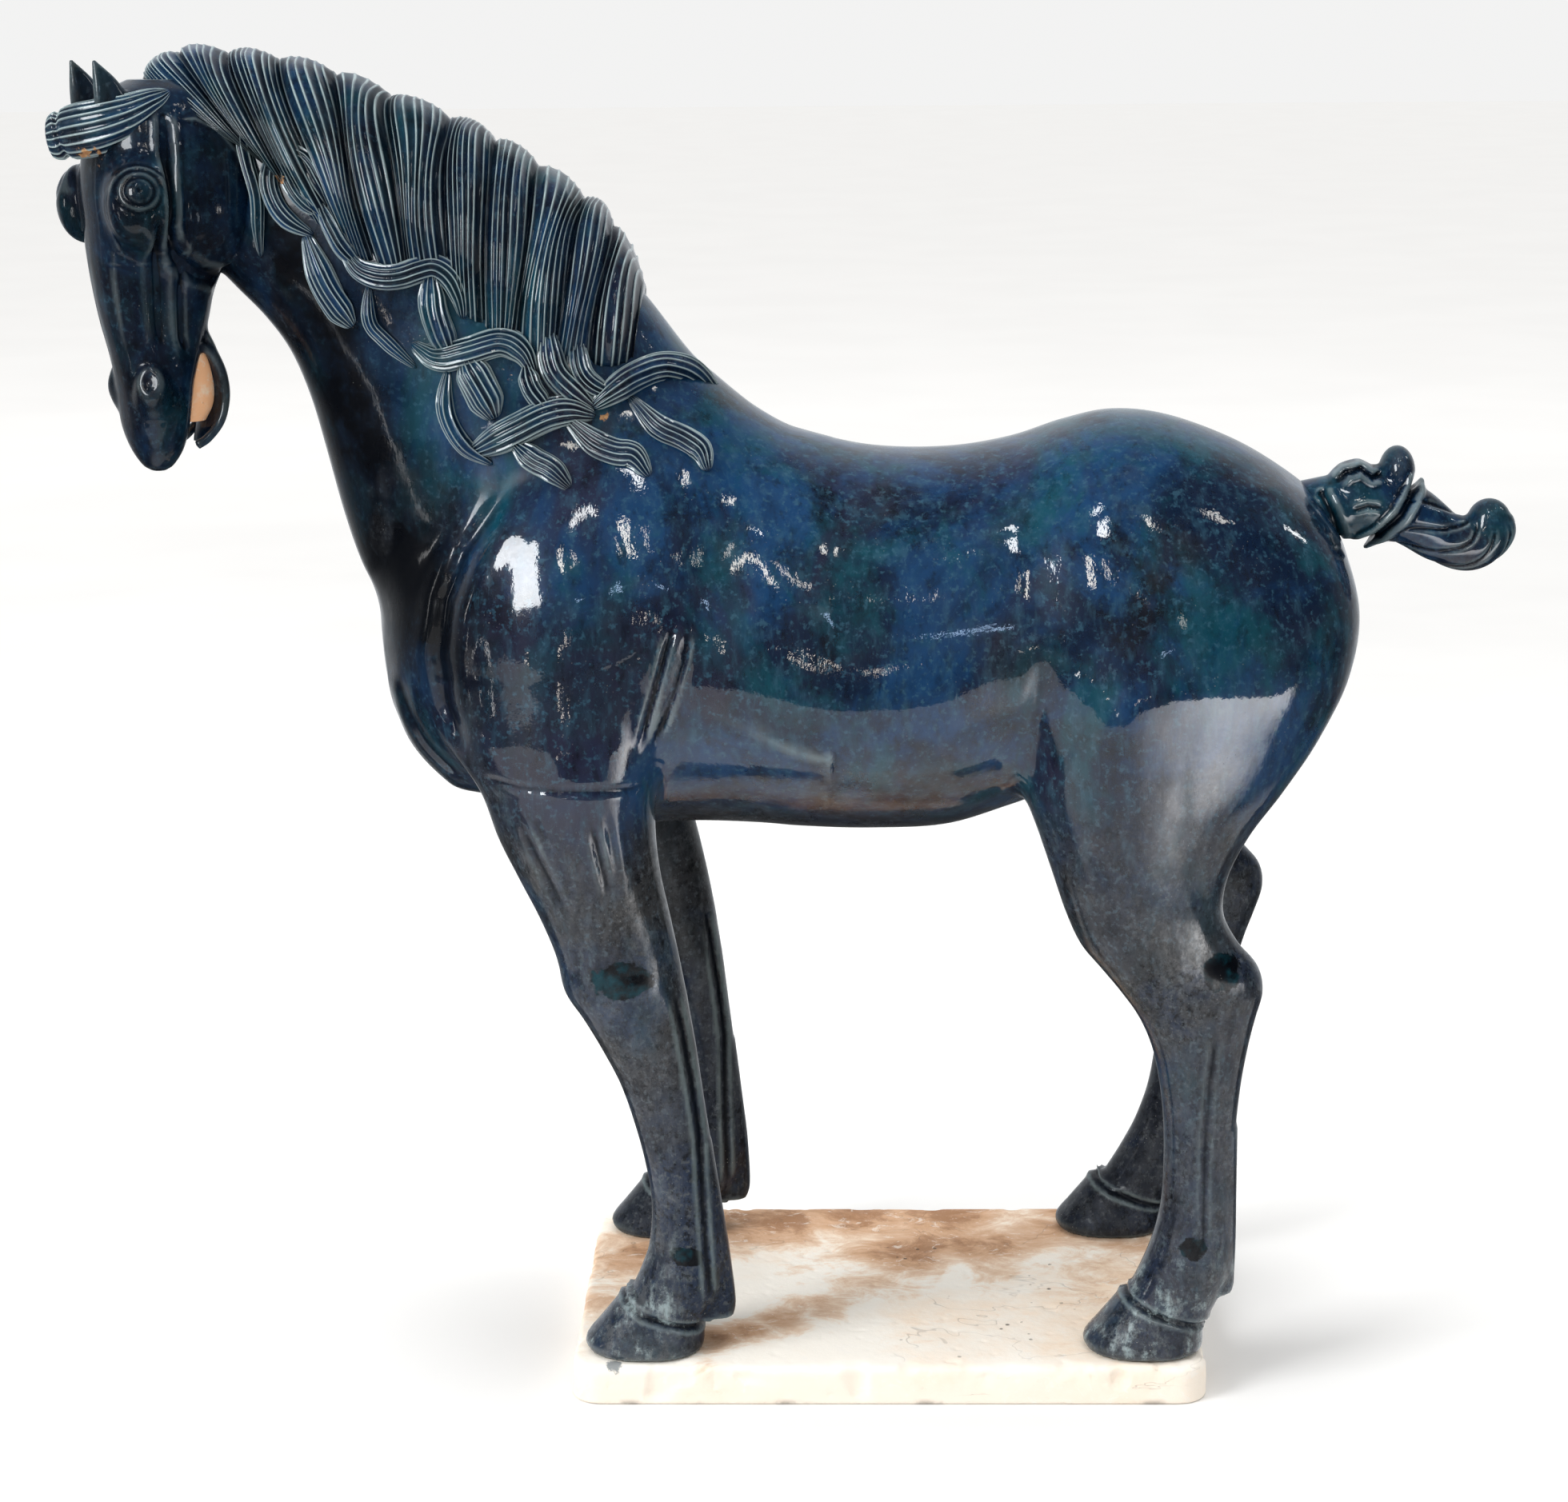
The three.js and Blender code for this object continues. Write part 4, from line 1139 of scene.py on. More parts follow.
# Brown stains on the slab: [x, y, radius, strength].
STAINS = [
    [-92, -74, 19, 1.15], [-76, -64, 17, 1.1], [-58, -50, 19, 0.95], [-38, -30, 24, 0.75],
    [-14, -2, 32, 0.7], [16, 44, 44, 1.05], [56, 48, 42, 1.0], [96, 76, 40, 0.95], [-66, 88, 42, 1.25],
    [-20, 98, 42, 1.15], [40, 104, 44, 1.2], [-140, 40, 40, 0.75], [-152, -20, 30, 0.5],
    [-120, 98, 38, 0.8], [128, -10, 26, 0.35], [140, 44, 36, 0.7], [110, 104, 36, 1.0],
    [-98, -104, 12, 0.35],
]


def in_figure(verts):
    """x, y and z in millimetres in the horse's own frame."""
    x, y, z = verts.T / MM
    return x, y, z - SOLE_HEIGHT


def bareness(verts):
    spot = head_to_figure(np.array([FORELOCK_SPOT[:3]]))[0] + HEAD_PLACE
    total = np.zeros(len(verts))
    for x, y, z, radius in [*BARE_SPOTS, [*spot, FORELOCK_SPOT[3]]]:
        away = ((verts - placed([[x, y, z]])) ** 2).sum(1)
        total = np.maximum(total, np.exp(-away / (radius * MM) ** 2))
    return total


# Thick dark pools of glaze on knee, hock and fetlocks: [x, z, half length, half height, shift].
POOLS = [
    [-134, 204, 18, 10, FORE_SHIFT["joint"]], [-104, 56, 9, 6, FORE_SHIFT["hoof"]],
    [167, 206, 12, 10, HIND_SHIFT["joint"]], [156, 60, 8, 6, HIND_SHIFT["hoof"]],
]


def pooling(verts):
    x, y, z = in_figure(verts)
    total = np.zeros(len(verts))
    for at_x, at_z, half_x, half_z, shift in POOLS:
        away = ((x - at_x - shift * (y > 0)) / half_x) ** 2 + ((z - at_z) / half_z) ** 2
        total = np.maximum(total, np.exp(-away) * smooth_step(np.abs(y), 70, 92))
    return total


def dark_glaze_and_painted_shade(verts):
    """Nearly black glaze: thick glaze on the tail, thick glaze with painted shade on neck, head and chest,
    and painted shade alone on the far side, between the legs, under the belly and on the far feet.
    """
    x, y, z = in_figure(verts)
    neck = smooth_step(-x - 0.35 * (z - 400), 185, 235) * smooth_step(z, 300, 380)
    chest = smooth_step(-x, 215, 250) * 0.7
    # The next three masks and the one for the far feet are painted shade: between the legs, on the far side
    # and under the belly.
    inside = smooth_step(95 - np.abs(y), 20, 55) * smooth_step(265 - z, 0, 30) * 0.6
    far = smooth_step(y, 0, 60) * (0.25 + 0.55 * smooth_step(300 - z, 0, 30))
    belly = smooth_step(284 - z, 0, 16) * smooth_step(x, -114, -100) * smooth_step(76 - x, 0, 12)
    head = smooth_step(-x, 300, 330) * 0.6
    tail = smooth_step(x, 216, 236) * 0.35
    foot = smooth_step(y, 30, 60) * smooth_step(110 - z, 0, 40) * 0.98
    neck = neck * (1 - smooth_step(-x, 300, 330))
    return np.maximum.reduce([neck, head, tail, chest, inside, far, foot, belly])


def locks_gap_shade(verts):
    """Painted shade in the gap between the neck, the locks and the shoulder, where the glaze loses its
    mirror.
    """
    x, y, z = in_figure(verts)
    away = ((x + 190) / 30) ** 2 + ((z - 460) / 22) ** 2
    return np.clip(1.6 * np.exp(-away), 0, 1) * smooth_step(-y, 0, 20)


def nowhere(verts):
    return np.zeros(len(verts))


def staining(verts):
    total = np.zeros(len(verts))
    for x, y, radius, strength in STAINS:
        away = (verts[:, 0] - x * MM) ** 2 + (verts[:, 1] - y * MM) ** 2
        total = np.maximum(total, strength * np.exp(-away / (radius * MM) ** 2))
    return total * smooth_step(verts[:, 2], 0.012, 0.019)


# A drop of glaze on the front of the slab: [x, y, z, radius] in the row frame.
GLAZE_DROP = [-142, -108, 20, 5.5]


def glaze_drop(verts):
    away = ((verts / MM - np.array(GLAZE_DROP[:3])) ** 2).sum(1)
    return np.exp(-away / GLAZE_DROP[3] ** 2)


# Two of these values paint shade: the darker glaze, and the gap between neck, locks and shoulder.
GLAZE_VALUES = {"bare": bareness, "dark": dark_glaze_and_painted_shade, "pool": pooling, "gap_shade": locks_gap_shade}
HAIR_VALUES = {**dict.fromkeys(GLAZE_VALUES, nowhere), "bare": bareness}

horse_body = add_piece("horse_body", [body_part], GLAZE_VALUES)
horse_head = add_piece("horse_head", [head_part], GLAZE_VALUES)
horse_tail = add_piece("horse_tail", [tail_part], GLAZE_VALUES)
horse_mane = add_piece("horse_mane", [part_of_shell(*shell) for shell in mane], HAIR_VALUES)
horse_locks = add_piece("horse_locks", [part_of_shell(*shell) for shell in locks], HAIR_VALUES)
horse_mouth = add_piece("horse_mouth", [mouth_part], {})
plinth_slab = add_piece("plinth_slab", [plinth_part], {"stain": staining, "drop": glaze_drop})


# Materials


def material(name):
    """A new material, its Tree and its shader."""
    made = bpy.data.materials.new(name)
    made.use_nodes = True
    tree = made.node_tree
    tree.nodes.clear()
    shader = tree.nodes.new("ShaderNodeBsdfPrincipled")
    output = tree.nodes.new("ShaderNodeOutputMaterial")
    tree.links.new(shader.outputs["BSDF"], output.inputs["Surface"])
    return made, Tree(tree), shader


class Tree:
    """Short ways to add the nodes of one material."""

    def __init__(self, tree):
        self.tree = tree
        self.place = self.node("ShaderNodeTexCoord").outputs["Object"]

    def node(self, kind, inputs=None, **settings):
        """A new node with its settings and the values or links of its inputs."""
        made = self.tree.nodes.new(kind)
        for key, value in settings.items():
            setattr(made, key, value)
        for socket, value in (inputs or {}).items():
            self.link(value, made.inputs[socket])
        return made

    def link(self, source, target):
        """Feeds an input: a number or a colour becomes its own value, a socket is linked."""
        if isinstance(source, (int, float)):
            target.default_value = source
        elif isinstance(source, tuple):
            target.default_value = (*source, 1.0)
        else:
            self.tree.links.new(source, target)

    def stretched(self, x, y, z):
        mapping = self.node("ShaderNodeMapping", {"Vector": self.place})
        mapping.inputs["Scale"].default_value = (x, y, z)
        return mapping.outputs["Vector"]

    def noise(self, scale, detail=4.0, rough=0.55, vector=None, warp=0.0):
        inputs = {"Vector": vector or self.place, "Scale": scale, "Detail": detail}
        inputs.update({"Roughness": rough, "Distortion": warp})
        return self.node("ShaderNodeTexNoise", inputs).outputs["Fac"]

    def cells(self, scale):
        inputs = {"Vector": self.place, "Scale": scale}
        return self.node("ShaderNodeTexVoronoi", inputs).outputs["Distance"]

    def span(self, value, low, high, to_low=0.0, to_high=1.0):
        """A smooth change from to_low to to_high while the value goes from low to high."""
        inputs = {"Value": value, "From Min": low, "From Max": high, "To Min": to_low, "To Max": to_high}
        made = self.node("ShaderNodeMapRange", inputs, interpolation_type="SMOOTHSTEP")
        return made.outputs["Result"]

    def noise_span(self, scale, detail, rough, low, high, to_low=0.0, to_high=1.0):
        return self.span(self.noise(scale, detail, rough), low, high, to_low, to_high)

    def math(self, operation, a, b=0.0, clamp=False):
        return self.node("ShaderNodeMath", {0: a, 1: b}, operation=operation, use_clamp=clamp).outputs[0]

    def times(self, a, b):
        return self.math("MULTIPLY", a, b)

    def plus(self, a, b):
        return self.math("ADD", a, b)

    def limited(self, value):
        return self.math("ADD", value, 0.0, clamp=True)

    def rest(self, value):
        """What a share leaves of 1."""
        return self.math("SUBTRACT", 1.0, value, clamp=True)

    def mix(self, share, a, b):
        return self.node("ShaderNodeMix", {0: share, 6: a, 7: b}, data_type="RGBA").outputs[2]

    def value(self, name):
        return self.node("ShaderNodeAttribute", attribute_name=name).outputs["Fac"]

    def bump(self, height, strength, distance, under=None):
        inputs = {"Height": height, "Strength": strength, "Distance": distance}
        if under is not None:
            inputs["Normal"] = under
        return self.node("ShaderNodeBump", inputs).outputs["Normal"]

    def axis(self, letter, vector=None):
        return self.node("ShaderNodeSeparateXYZ", {0: vector or self.place}).outputs[letter]


BLACK = (0.0012, 0.0018, 0.0034)
NAVY = (0.0022, 0.0095, 0.029)
COBALT = (0.005, 0.036, 0.102)
TEAL = (0.0035, 0.052, 0.073)
PLUM = (0.013, 0.012, 0.028)
MIST = (0.028, 0.085, 0.13)
SMOKE = (0.027, 0.028, 0.03)
SLATE = (0.014, 0.024, 0.048)
ASH = (0.06, 0.067, 0.075)
DEEP = (0.0012, 0.0026, 0.0055)
THIN = (0.33, 0.42, 0.43)
SPECK = (0.42, 0.42, 0.38)
OCHRE = (0.46, 0.27, 0.13)
OCHRE_DARK = (0.3, 0.15, 0.07)
GLAZE_SPECULAR = 0.09
COAT_IOR = 1.62


def glaze_material(name, thin_strength):
    """Dark blue lead glaze in clouds and fine drips, thin and pale on sharp ridges."""
    made, t, shader = material(name)
    height = t.axis("Z")
    drip = t.stretched(1.0, 1.0, 0.34)
    low_stretch = t.stretched(1.0, 1.0, 0.6)
    streak = t.noise(150.0, 5.0, 0.65, drip)
    grain = t.noise(320.0, 3.0, 0.6)

    # the clouds of the glaze
    cloud = t.noise(12.0, 6.0, 0.66, warp=0.6)
    veil = t.noise(23.0, 6.0, 0.66, low_stretch, 0.5)
    dusk = t.noise(8.0, 4.0, 0.6, t.stretched(1.4, 1.0, 0.9), 0.8)
    base = t.mix(t.span(cloud, 0.43, 0.6), NAVY, COBALT)
    base = t.mix(t.span(veil, 0.46, 0.64, 0.0, 0.8), base, TEAL)
    base = t.mix(t.span(dusk, 0.5, 0.66, 0.0, 0.8), base, PLUM)
    base = t.mix(t.span(t.noise(15.0, 7.0, 0.72, warp=0.3), 0.52, 0.68, 0.0, 0.85), base, BLACK)
    # Blacker where the glaze is thick, and painted shade on the far side, between the legs, under the belly
    # and on the far feet.
    dark = t.plus(t.value("dark"), t.noise_span(20.0, 5.0, 0.65, 0.3, 0.7, 0.15, -0.16))
    base = t.mix(t.limited(dark), base, BLACK)

    # the dusty lower half
    smoky = t.plus(t.span(height, 0.25, 0.37, 0.95, 0.0), t.noise_span(14.0, 5.0, 0.6, 0.4, 0.7, -0.35, 0.3))
    smoky = t.limited(smoky)
    bluish = t.span(t.noise(16.0, 5.0, 0.65, warp=0.4), 0.48, 0.66)
    bluish = t.limited(t.plus(bluish, t.span(height, 0.13, 0.21, 0.4, 0.0)))
    dapple = t.noise(85.0, 7.0, 0.8, t.stretched(1.0, 1.0, 0.75))
    base = t.mix(smoky, base, t.mix(bluish, SMOKE, SLATE))
    for mark, colour in (
        (t.span(streak, 0.5, 0.68, 0.0, 0.4), ASH),
        (t.span(grain, 0.53, 0.66, 0.0, 0.95), ASH),
        (t.span(dapple, 0.52, 0.64, 0.0, 0.5), ASH),
        (t.span(dapple, 0.36, 0.48, 0.75, 0.0), BLACK),
        (t.noise_span(240.0, 5.0, 0.75, 0.36, 0.5, 0.9, 0.0), BLACK),
    ):
        base = t.mix(t.times(smoky, mark), base, colour)

    # pale and dark drips and grains
    light = t.times(t.rest(dark), t.rest(t.times(smoky, 0.8)))
    base = t.mix(t.times(t.span(streak, 0.5, 0.7, 0.0, 0.4), light), base, MIST)
    base = t.mix(t.times(t.span(grain, 0.54, 0.7, 0.0, 0.6), light), base, MIST)
    base = t.mix(t.span(streak, 0.3, 0.46, 0.5, 0.0), base, BLACK)
    base = t.mix(t.span(t.noise(75.0, 5.0, 0.7, low_stretch), 0.53, 0.7, 0.0, 0.4), base, BLACK)

    # pools, glaze pooled in hollows with painted shade in the gaps between the mane's lobes, and the thin
    # pale glaze on ridges
    pool = t.plus(t.value("pool"), t.noise_span(130.0, 4.0, 0.6, 0.3, 0.7, -0.14, 0.14))
    pool = t.span(pool, 0.4, 0.5)
    base = t.mix(pool, base, t.mix(t.noise_span(90.0, 3.0, 0.55, 0.45, 0.7, 0.0, 0.6), BLACK, TEAL))
    hollow = t.value("hollow")
    # darker where glaze pools in hollows; in the gaps between the mane's lobes this is painted shade
    base = t.mix(t.times(hollow, 0.85), base, DEEP)
    uneven = t.span(t.noise(60.0, 3.0, 0.55, t.stretched(1.0, 1.0, 0.4)), 0.3, 0.6, 0.45, 1.0)
    thin = t.math("MULTIPLY", t.times(t.value("ridge"), uneven), thin_strength, clamp=True)
    base = t.mix(thin, base, THIN)

    # worn feet, burst bubbles and bare spots
    worn = t.times(t.noise_span(64.0, 7.0, 0.76, 0.46, 0.6), t.span(height, 0.04, 0.1, 0.85, 0.0))
    worn = t.times(worn, t.rest(t.value("dark")))
    base = t.mix(worn, base, t.mix(t.span(streak, 0.45, 0.65, 0.0, 0.8), ASH, THIN))
    holes = t.times(t.span(t.cells(430.0), 0.06, 0.13, 1.0, 0.0), t.noise_span(34.0, 4.0, 0.65, 0.53, 0.64))
    holes = t.times(holes, t.span(height, 0.03, 0.15, 1.0, 0.25))
    base = t.mix(t.times(holes, 0.85), base, SPECK)
    bare = t.plus(t.value("bare"), t.noise_span(240.0, 4.0, 0.6, 0.3, 0.7, -0.28, 0.28))
    bare = t.span(bare, 0.42, 0.56)
    base = t.mix(bare, base, t.mix(t.span(t.noise(300.0), 0.4, 0.6), OCHRE, OCHRE_DARK))
    t.link(base, shader.inputs["Base Color"])
    t.link(t.noise_span(40.0, 4.0, 0.55, 0.35, 0.7, 0.25, 0.4), shader.inputs["Roughness"])
    shader.inputs["Specular IOR Level"].default_value = GLAZE_SPECULAR

    # the glassy coat
    blur = t.plus(t.noise_span(30.0, 5.0, 0.6, 0.4, 0.75, 0.02, 0.07), t.times(thin, 0.14))
    blur = t.plus(blur, t.times(t.plus(holes, worn), 0.25))
    blur = t.plus(blur, t.plus(t.times(smoky, 0.13), t.times(t.value("dark"), 0.07)))
    t.link(blur, shader.inputs["Coat Roughness"])
    matt = t.span(t.noise(70.0, 8.0, 0.78, low_stretch, 0.3), 0.4, 0.6, 0.85, 0.0)
    matt = t.math("MAXIMUM", matt, t.noise_span(430.0, 3.0, 0.75, 0.42, 0.6, 0.6, 0.0))
    matt = t.times(matt, t.plus(0.18, t.times(smoky, 0.82)))
    # The coat loses its mirror on pools and matt patches, and as painted shade where the glaze is darker, in
    # hollows and in the gap between neck, locks and shoulder.
    shine = 1.0
    for loss in (
        t.times(t.value("dark"), 0.75), t.times(pool, 0.6), t.value("gap_shade"), t.times(hollow, 0.75), matt
    ):
        shine = t.times(shine, t.rest(loss))
    # even the rough parts mirror the wall along the outline
    rim = t.span(t.node("ShaderNodeLayerWeight").outputs["Facing"], 0.72, 0.93, 0.0, 0.85)
    t.link(t.times(t.math("MAXIMUM", shine, rim), t.rest(bare)), shader.inputs["Coat Weight"])
    shader.inputs["Coat IOR"].default_value = COAT_IOR

    wave = t.bump(t.noise(30.0, 2.0, 0.5), 0.3, 0.0013)
    fine = t.bump(t.noise(190.0, 3.0, 0.6, drip), 0.35, 0.00022, wave)
    fine = t.bump(t.noise(620.0, 2.0, 0.5), 0.5, 0.00005, fine)
    surface = t.bump(t.plus(holes, bare), 0.5, -0.0003, fine)
    t.link(surface, shader.inputs["Normal"])
    t.link(surface, shader.inputs["Coat Normal"])
    return made


glaze = glaze_material("blue_glaze", 0.3)
combed_glaze = glaze_material("blue_glaze_combed", 0.9)

CLAY = (0.975, 0.93, 0.85)
CLAY_WARM = (0.94, 0.75, 0.57)
CLAY_PALE = (0.95, 0.91, 0.85)
STAIN = (0.58, 0.32, 0.17)
STAIN_DARK = (0.33, 0.165, 0.08)
CLAY_SPECK = (0.1, 0.075, 0.06)
DROP = (0.16, 0.19, 0.21)
MOUTH_CLAY = (0.95, 0.52, 0.28)


def clay_surface(t, shader, base, pits, lumps):
    """Dry clay with its colour, pits and lumps."""
    t.link(base, shader.inputs["Base Color"])
    t.link(t.span(t.noise(50.0), 0.3, 0.7, 0.65, 0.92), shader.inputs["Roughness"])
    shader.inputs["IOR"].default_value = 1.4
    rough = t.bump(t.noise(38.0, 5.0, 0.6), 0.6, 0.0016 * lumps)
    rough = t.bump(t.noise(170.0, 5.0, 0.7), 0.6, 0.0005, rough)
    t.link(t.bump(pits, 0.7, -0.0008, rough), shader.inputs["Normal"])


def plinth_material():
    """Cream clay, brushed with brown stains where the value "stain" is high, with dark pits."""
    made, t, shader = material("bare_clay")
    height = t.axis("Z")
    base = t.mix(t.noise_span(13.0, 5.0, 0.6, 0.44, 0.8), CLAY, CLAY_WARM)
    base = t.mix(t.span(height, 0.014, 0.0205, 0.32, 0.0), base, CLAY_WARM)
    brushed = t.noise(40.0, 7.0, 0.75, t.stretched(0.8, 1.15, 1.0), 0.9)
    cloudy = t.noise(15.0, 5.0, 0.65, warp=0.5)
    stain = t.plus(t.value("stain"), t.span(brushed, 0.25, 0.75, -0.26, 0.26))
    stain = t.plus(stain, t.span(cloudy, 0.3, 0.7, -0.22, 0.26))
    base = t.mix(t.span(stain, 0.2, 0.6, 0.0, 0.8), base, CLAY_WARM)
    base = t.mix(t.span(stain, 0.25, 0.95, 0.0, 0.82), base, STAIN)
    base = t.mix(t.span(stain, 0.85, 1.25, 0.0, 0.8), base, STAIN_DARK)
    scratches = t.noise(80.0, 7.0, 0.78, t.stretched(0.8, 1.2, 1.0), 1.2)
    base = t.mix(t.span(scratches, 0.56, 0.64, 0.0, 0.5), base, CLAY_PALE)

    # pits, darker patches along the lower edge, and hairline cracks
    pits = t.times(t.span(t.cells(95.0), 0.07, 0.13, 1.0, 0.0), t.span(t.noise(19.0), 0.57, 0.62))
    dark_lower_edge = t.times(t.span(height, 0.0, 0.004, 0.7, 0.0), t.span(t.noise(40.0), 0.5, 0.62))
    hairline = t.noise(24.0, 4.0, 0.6, t.stretched(0.5, 0.5, 2.4), 0.4)
    hairline = t.span(t.math("ABSOLUTE", t.plus(hairline, -0.5)), 0.0, 0.006, 0.32, 0.0)
    hairline = t.times(hairline, t.noise_span(12.0, 3.0, 0.55, 0.5, 0.6))
    dark_marks = t.math("MAXIMUM", t.math("MAXIMUM", pits, dark_lower_edge), hairline)
    base = t.mix(t.times(dark_marks, 0.8), base, CLAY_SPECK)
    drop = t.plus(t.value("drop"), t.times(t.noise(300.0, 5.0, 0.7), 0.9))
    base = t.mix(t.span(drop, 0.95, 1.15, 0.0, 0.85), base, DROP)
    clay_surface(t, shader, base, dark_marks, 1.0)
    return made


def mouth_material():
    """Peach coloured clay inside the mouth, paler where it is rubbed."""
    made, t, shader = material("mouth_clay")
    base = t.mix(t.noise_span(90.0, 5.0, 0.65, 0.5, 0.75), MOUTH_CLAY, CLAY_WARM)
    base = t.mix(t.noise_span(160.0, 5.0, 0.7, 0.56, 0.68, 0.0, 0.8), base, CLAY_PALE)
    pits = t.times(t.span(t.cells(380.0), 0.08, 0.16, 1.0, 0.0), t.span(t.noise(120.0), 0.52, 0.6))
    base = t.mix(t.times(pits, 0.7), base, STAIN_DARK)
    clay_surface(t, shader, base, pits, 0.5)
    return made


for piece, look, slot in (
    (horse_body, glaze, "glaze"),
    (horse_head, glaze, "glaze"),
    (horse_tail, glaze, "glaze"),
    (horse_mane, combed_glaze, "glaze"),
    (horse_locks, combed_glaze, "glaze"),
    (horse_mouth, mouth_material(), "glaze"),
    (plinth_slab, plinth_material(), "bare_clay"),
):
    piece.data.materials.append(look)
    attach(piece, "root")
for piece in (horse_body, horse_head, horse_tail, horse_mane, horse_locks, horse_mouth):
    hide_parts("horse")
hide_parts("plinth")


# Stage


def stage_mesh(name, verts, faces):
    mesh = bpy.data.meshes.new(name)
    mesh.from_pydata(verts, [], faces)
    return in_scene(name, mesh)


def stage_plane(name, low, high, height):
    corners = [(low[0], low[1]), (high[0], low[1]), (high[0], high[1]), (low[0], high[1])]
    return stage_mesh(name, [(x, y, height) for x, y in corners], [(0, 1, 2, 3)])


def paper(name, glow):
    """Pale paper that fades evenly into the wall; glow lifts it far from the object."""
    made, t, shader = material(name)
    tone = t.mix(t.span(t.noise(3.0, 3.0), 0.3, 0.7), (0.84, 0.84, 0.835), (0.87, 0.87, 0.865))
    t.link(tone, shader.inputs["Base Color"])
    shader.inputs["Roughness"].default_value = 0.95
    shader.inputs["Specular IOR Level"].default_value = 0.0
    shader.inputs["Emission Color"].default_value = (1.0, 0.995, 0.985, 1.0)
    length = t.node("ShaderNodeVectorMath", operation="LENGTH")
    t.link(t.place, length.inputs[0])
    t.link(t.span(length.outputs["Value"], 1.3, 4.2, 0.0, glow), shader.inputs["Emission Strength"])
    return made


floor = stage_plane("studio_floor", (-14, -6), (14, 26), 0.0)
floor.data.materials.append(paper("floor_paper", FLOOR_GLOW))
floor.visible_glossy = False

# Heights of the upturned edge of the paper: (place along x, height).
UPTURN = [
    (-0.8, 0.25), (-0.42, 0.37), (-0.3, 0.375), (-0.22, 0.36), (-0.17, 0.31), (-0.1, 0.285),
    (-0.05, 0.28), (0.0, 0.285), (0.05, 0.28), (0.08, 0.295), (0.13, 0.325), (0.2, 0.335),
    (0.34, 0.335), (0.5, 0.31), (1.8, 0.28),
]
UPTURN_Y = -0.34
MIRROR_GLOW = 0.95
REAR_GLOW = 5.5


def mirrored_paper():
    """Paper that glows for mirrored rays from near by, brighter behind the horse's flank."""
    made, t, shader = material("mirrored_paper")
    tone = t.mix(t.span(t.noise(5.0), 0.3, 0.7), (0.9, 0.9, 0.92), (1.0, 0.99, 0.97))
    t.link(tone, shader.inputs["Emission Color"])
    place = t.node("ShaderNodeNewGeometry").outputs["Position"]
    rear = t.times(t.span(t.axis("X", place), 0.08, 0.3), t.span(t.axis("Z", place), 0.1, 0.28))
    near = t.span(t.node("ShaderNodeLightPath").outputs["Ray Length"], 0.5, 0.62, 1.0, 0.0)
    glow = t.plus(MIRROR_GLOW, t.times(rear, REAR_GLOW))
    t.link(t.times(near, glow), shader.inputs["Emission Strength"])
    shader.inputs["Base Color"].default_value = (0.05, 0.05, 0.05, 1.0)
    return made


# Glossy surfaces see only a strip of paper in front of the horse, which ends in a low upturned edge.
strip = stage_plane("paper_strip", (-0.8, UPTURN_Y), (1.8, 0.02), 0.0003)
upturn = stage_mesh(
    "paper_upturn",
    [(x, UPTURN_Y, 0) for x, _ in UPTURN] + [(x, UPTURN_Y, height) for x, height in UPTURN],
    [(i, i + 1, i + 1 + len(UPTURN), i + len(UPTURN)) for i in range(len(UPTURN) - 1)],
)
mirror_paper = mirrored_paper()
for part in (strip, upturn):
    part.data.materials.append(mirror_paper)
    part.visible_camera = False
    part.visible_diffuse = False
    part.visible_shadow = False

world = bpy.data.worlds.new("studio")
bpy.context.scene.world = world
world.use_nodes = True
world.node_tree.nodes.clear()
w = Tree(world.node_tree)
ray = w.node("ShaderNodeLightPath")
direction = w.node("ShaderNodeTexCoord").outputs["Generated"]
depthwards, upwards = w.axis("Y", direction), w.axis("Z", direction)


def backdrop(colour, strength):
    return w.node("ShaderNodeBackground", {"Color": colour, "Strength": strength}).outputs[0]


def world_mix(share, a, b):
    return w.node("ShaderNodeMixShader", {0: share, 1: a, 2: b}).outputs[0]


# Mirrored rays see a dark room on the viewer's side and the pale wall behind the horse.
wall = w.times(w.span(depthwards, 0.12, 0.85), w.span(upwards, -0.44, -0.2))
clutter = w.span(w.noise(3.2, 4.0, 0.6, direction), 0.35, 0.7, 0.015, 0.13)
mirrored = backdrop((0.92, 0.96, 1.0), w.plus(clutter, w.times(wall, MIRRORED_WALL)))
seen = backdrop((1.0, 1.0, 0.997), w.span(upwards, -0.02, 0.3, WALL_LOW, WALL_HIGH))
soft = backdrop((1.0, 0.99, 0.975), WORLD_SOFT)
mixed = world_mix(ray.outputs["Is Glossy Ray"], soft, mirrored)
surface = world_mix(ray.outputs["Is Camera Ray"], mixed, seen)
w.node("ShaderNodeOutputWorld", {"Surface": surface})


def soft_light(name, place, aim, size, power, colour=(1, 1, 1)):
    """A rectangular light that points at aim and isn't seen itself."""
    lamp = bpy.data.lights.new(name, "AREA")
    lamp.shape = "RECTANGLE"
    lamp.size, lamp.size_y = size
    lamp.energy = power
    lamp.color = colour
    made = in_scene(name, lamp)
    made.location = place
    made.rotation_euler = (Vector(aim) - Vector(place)).to_track_quat("-Z", "Y").to_euler()
    made.visible_camera = False
    return made


for name, place, size, power in (
    ("key", (-2.6, -1.7, 2.1), (1.4, 1.4), KEY_POWER),
    ("top", (0.1, 0.2, 2.8), (2.4, 2.0), TOP_POWER),
):
    soft_light(name, place, (0, 0, 0.3), size, power).visible_glossy = False

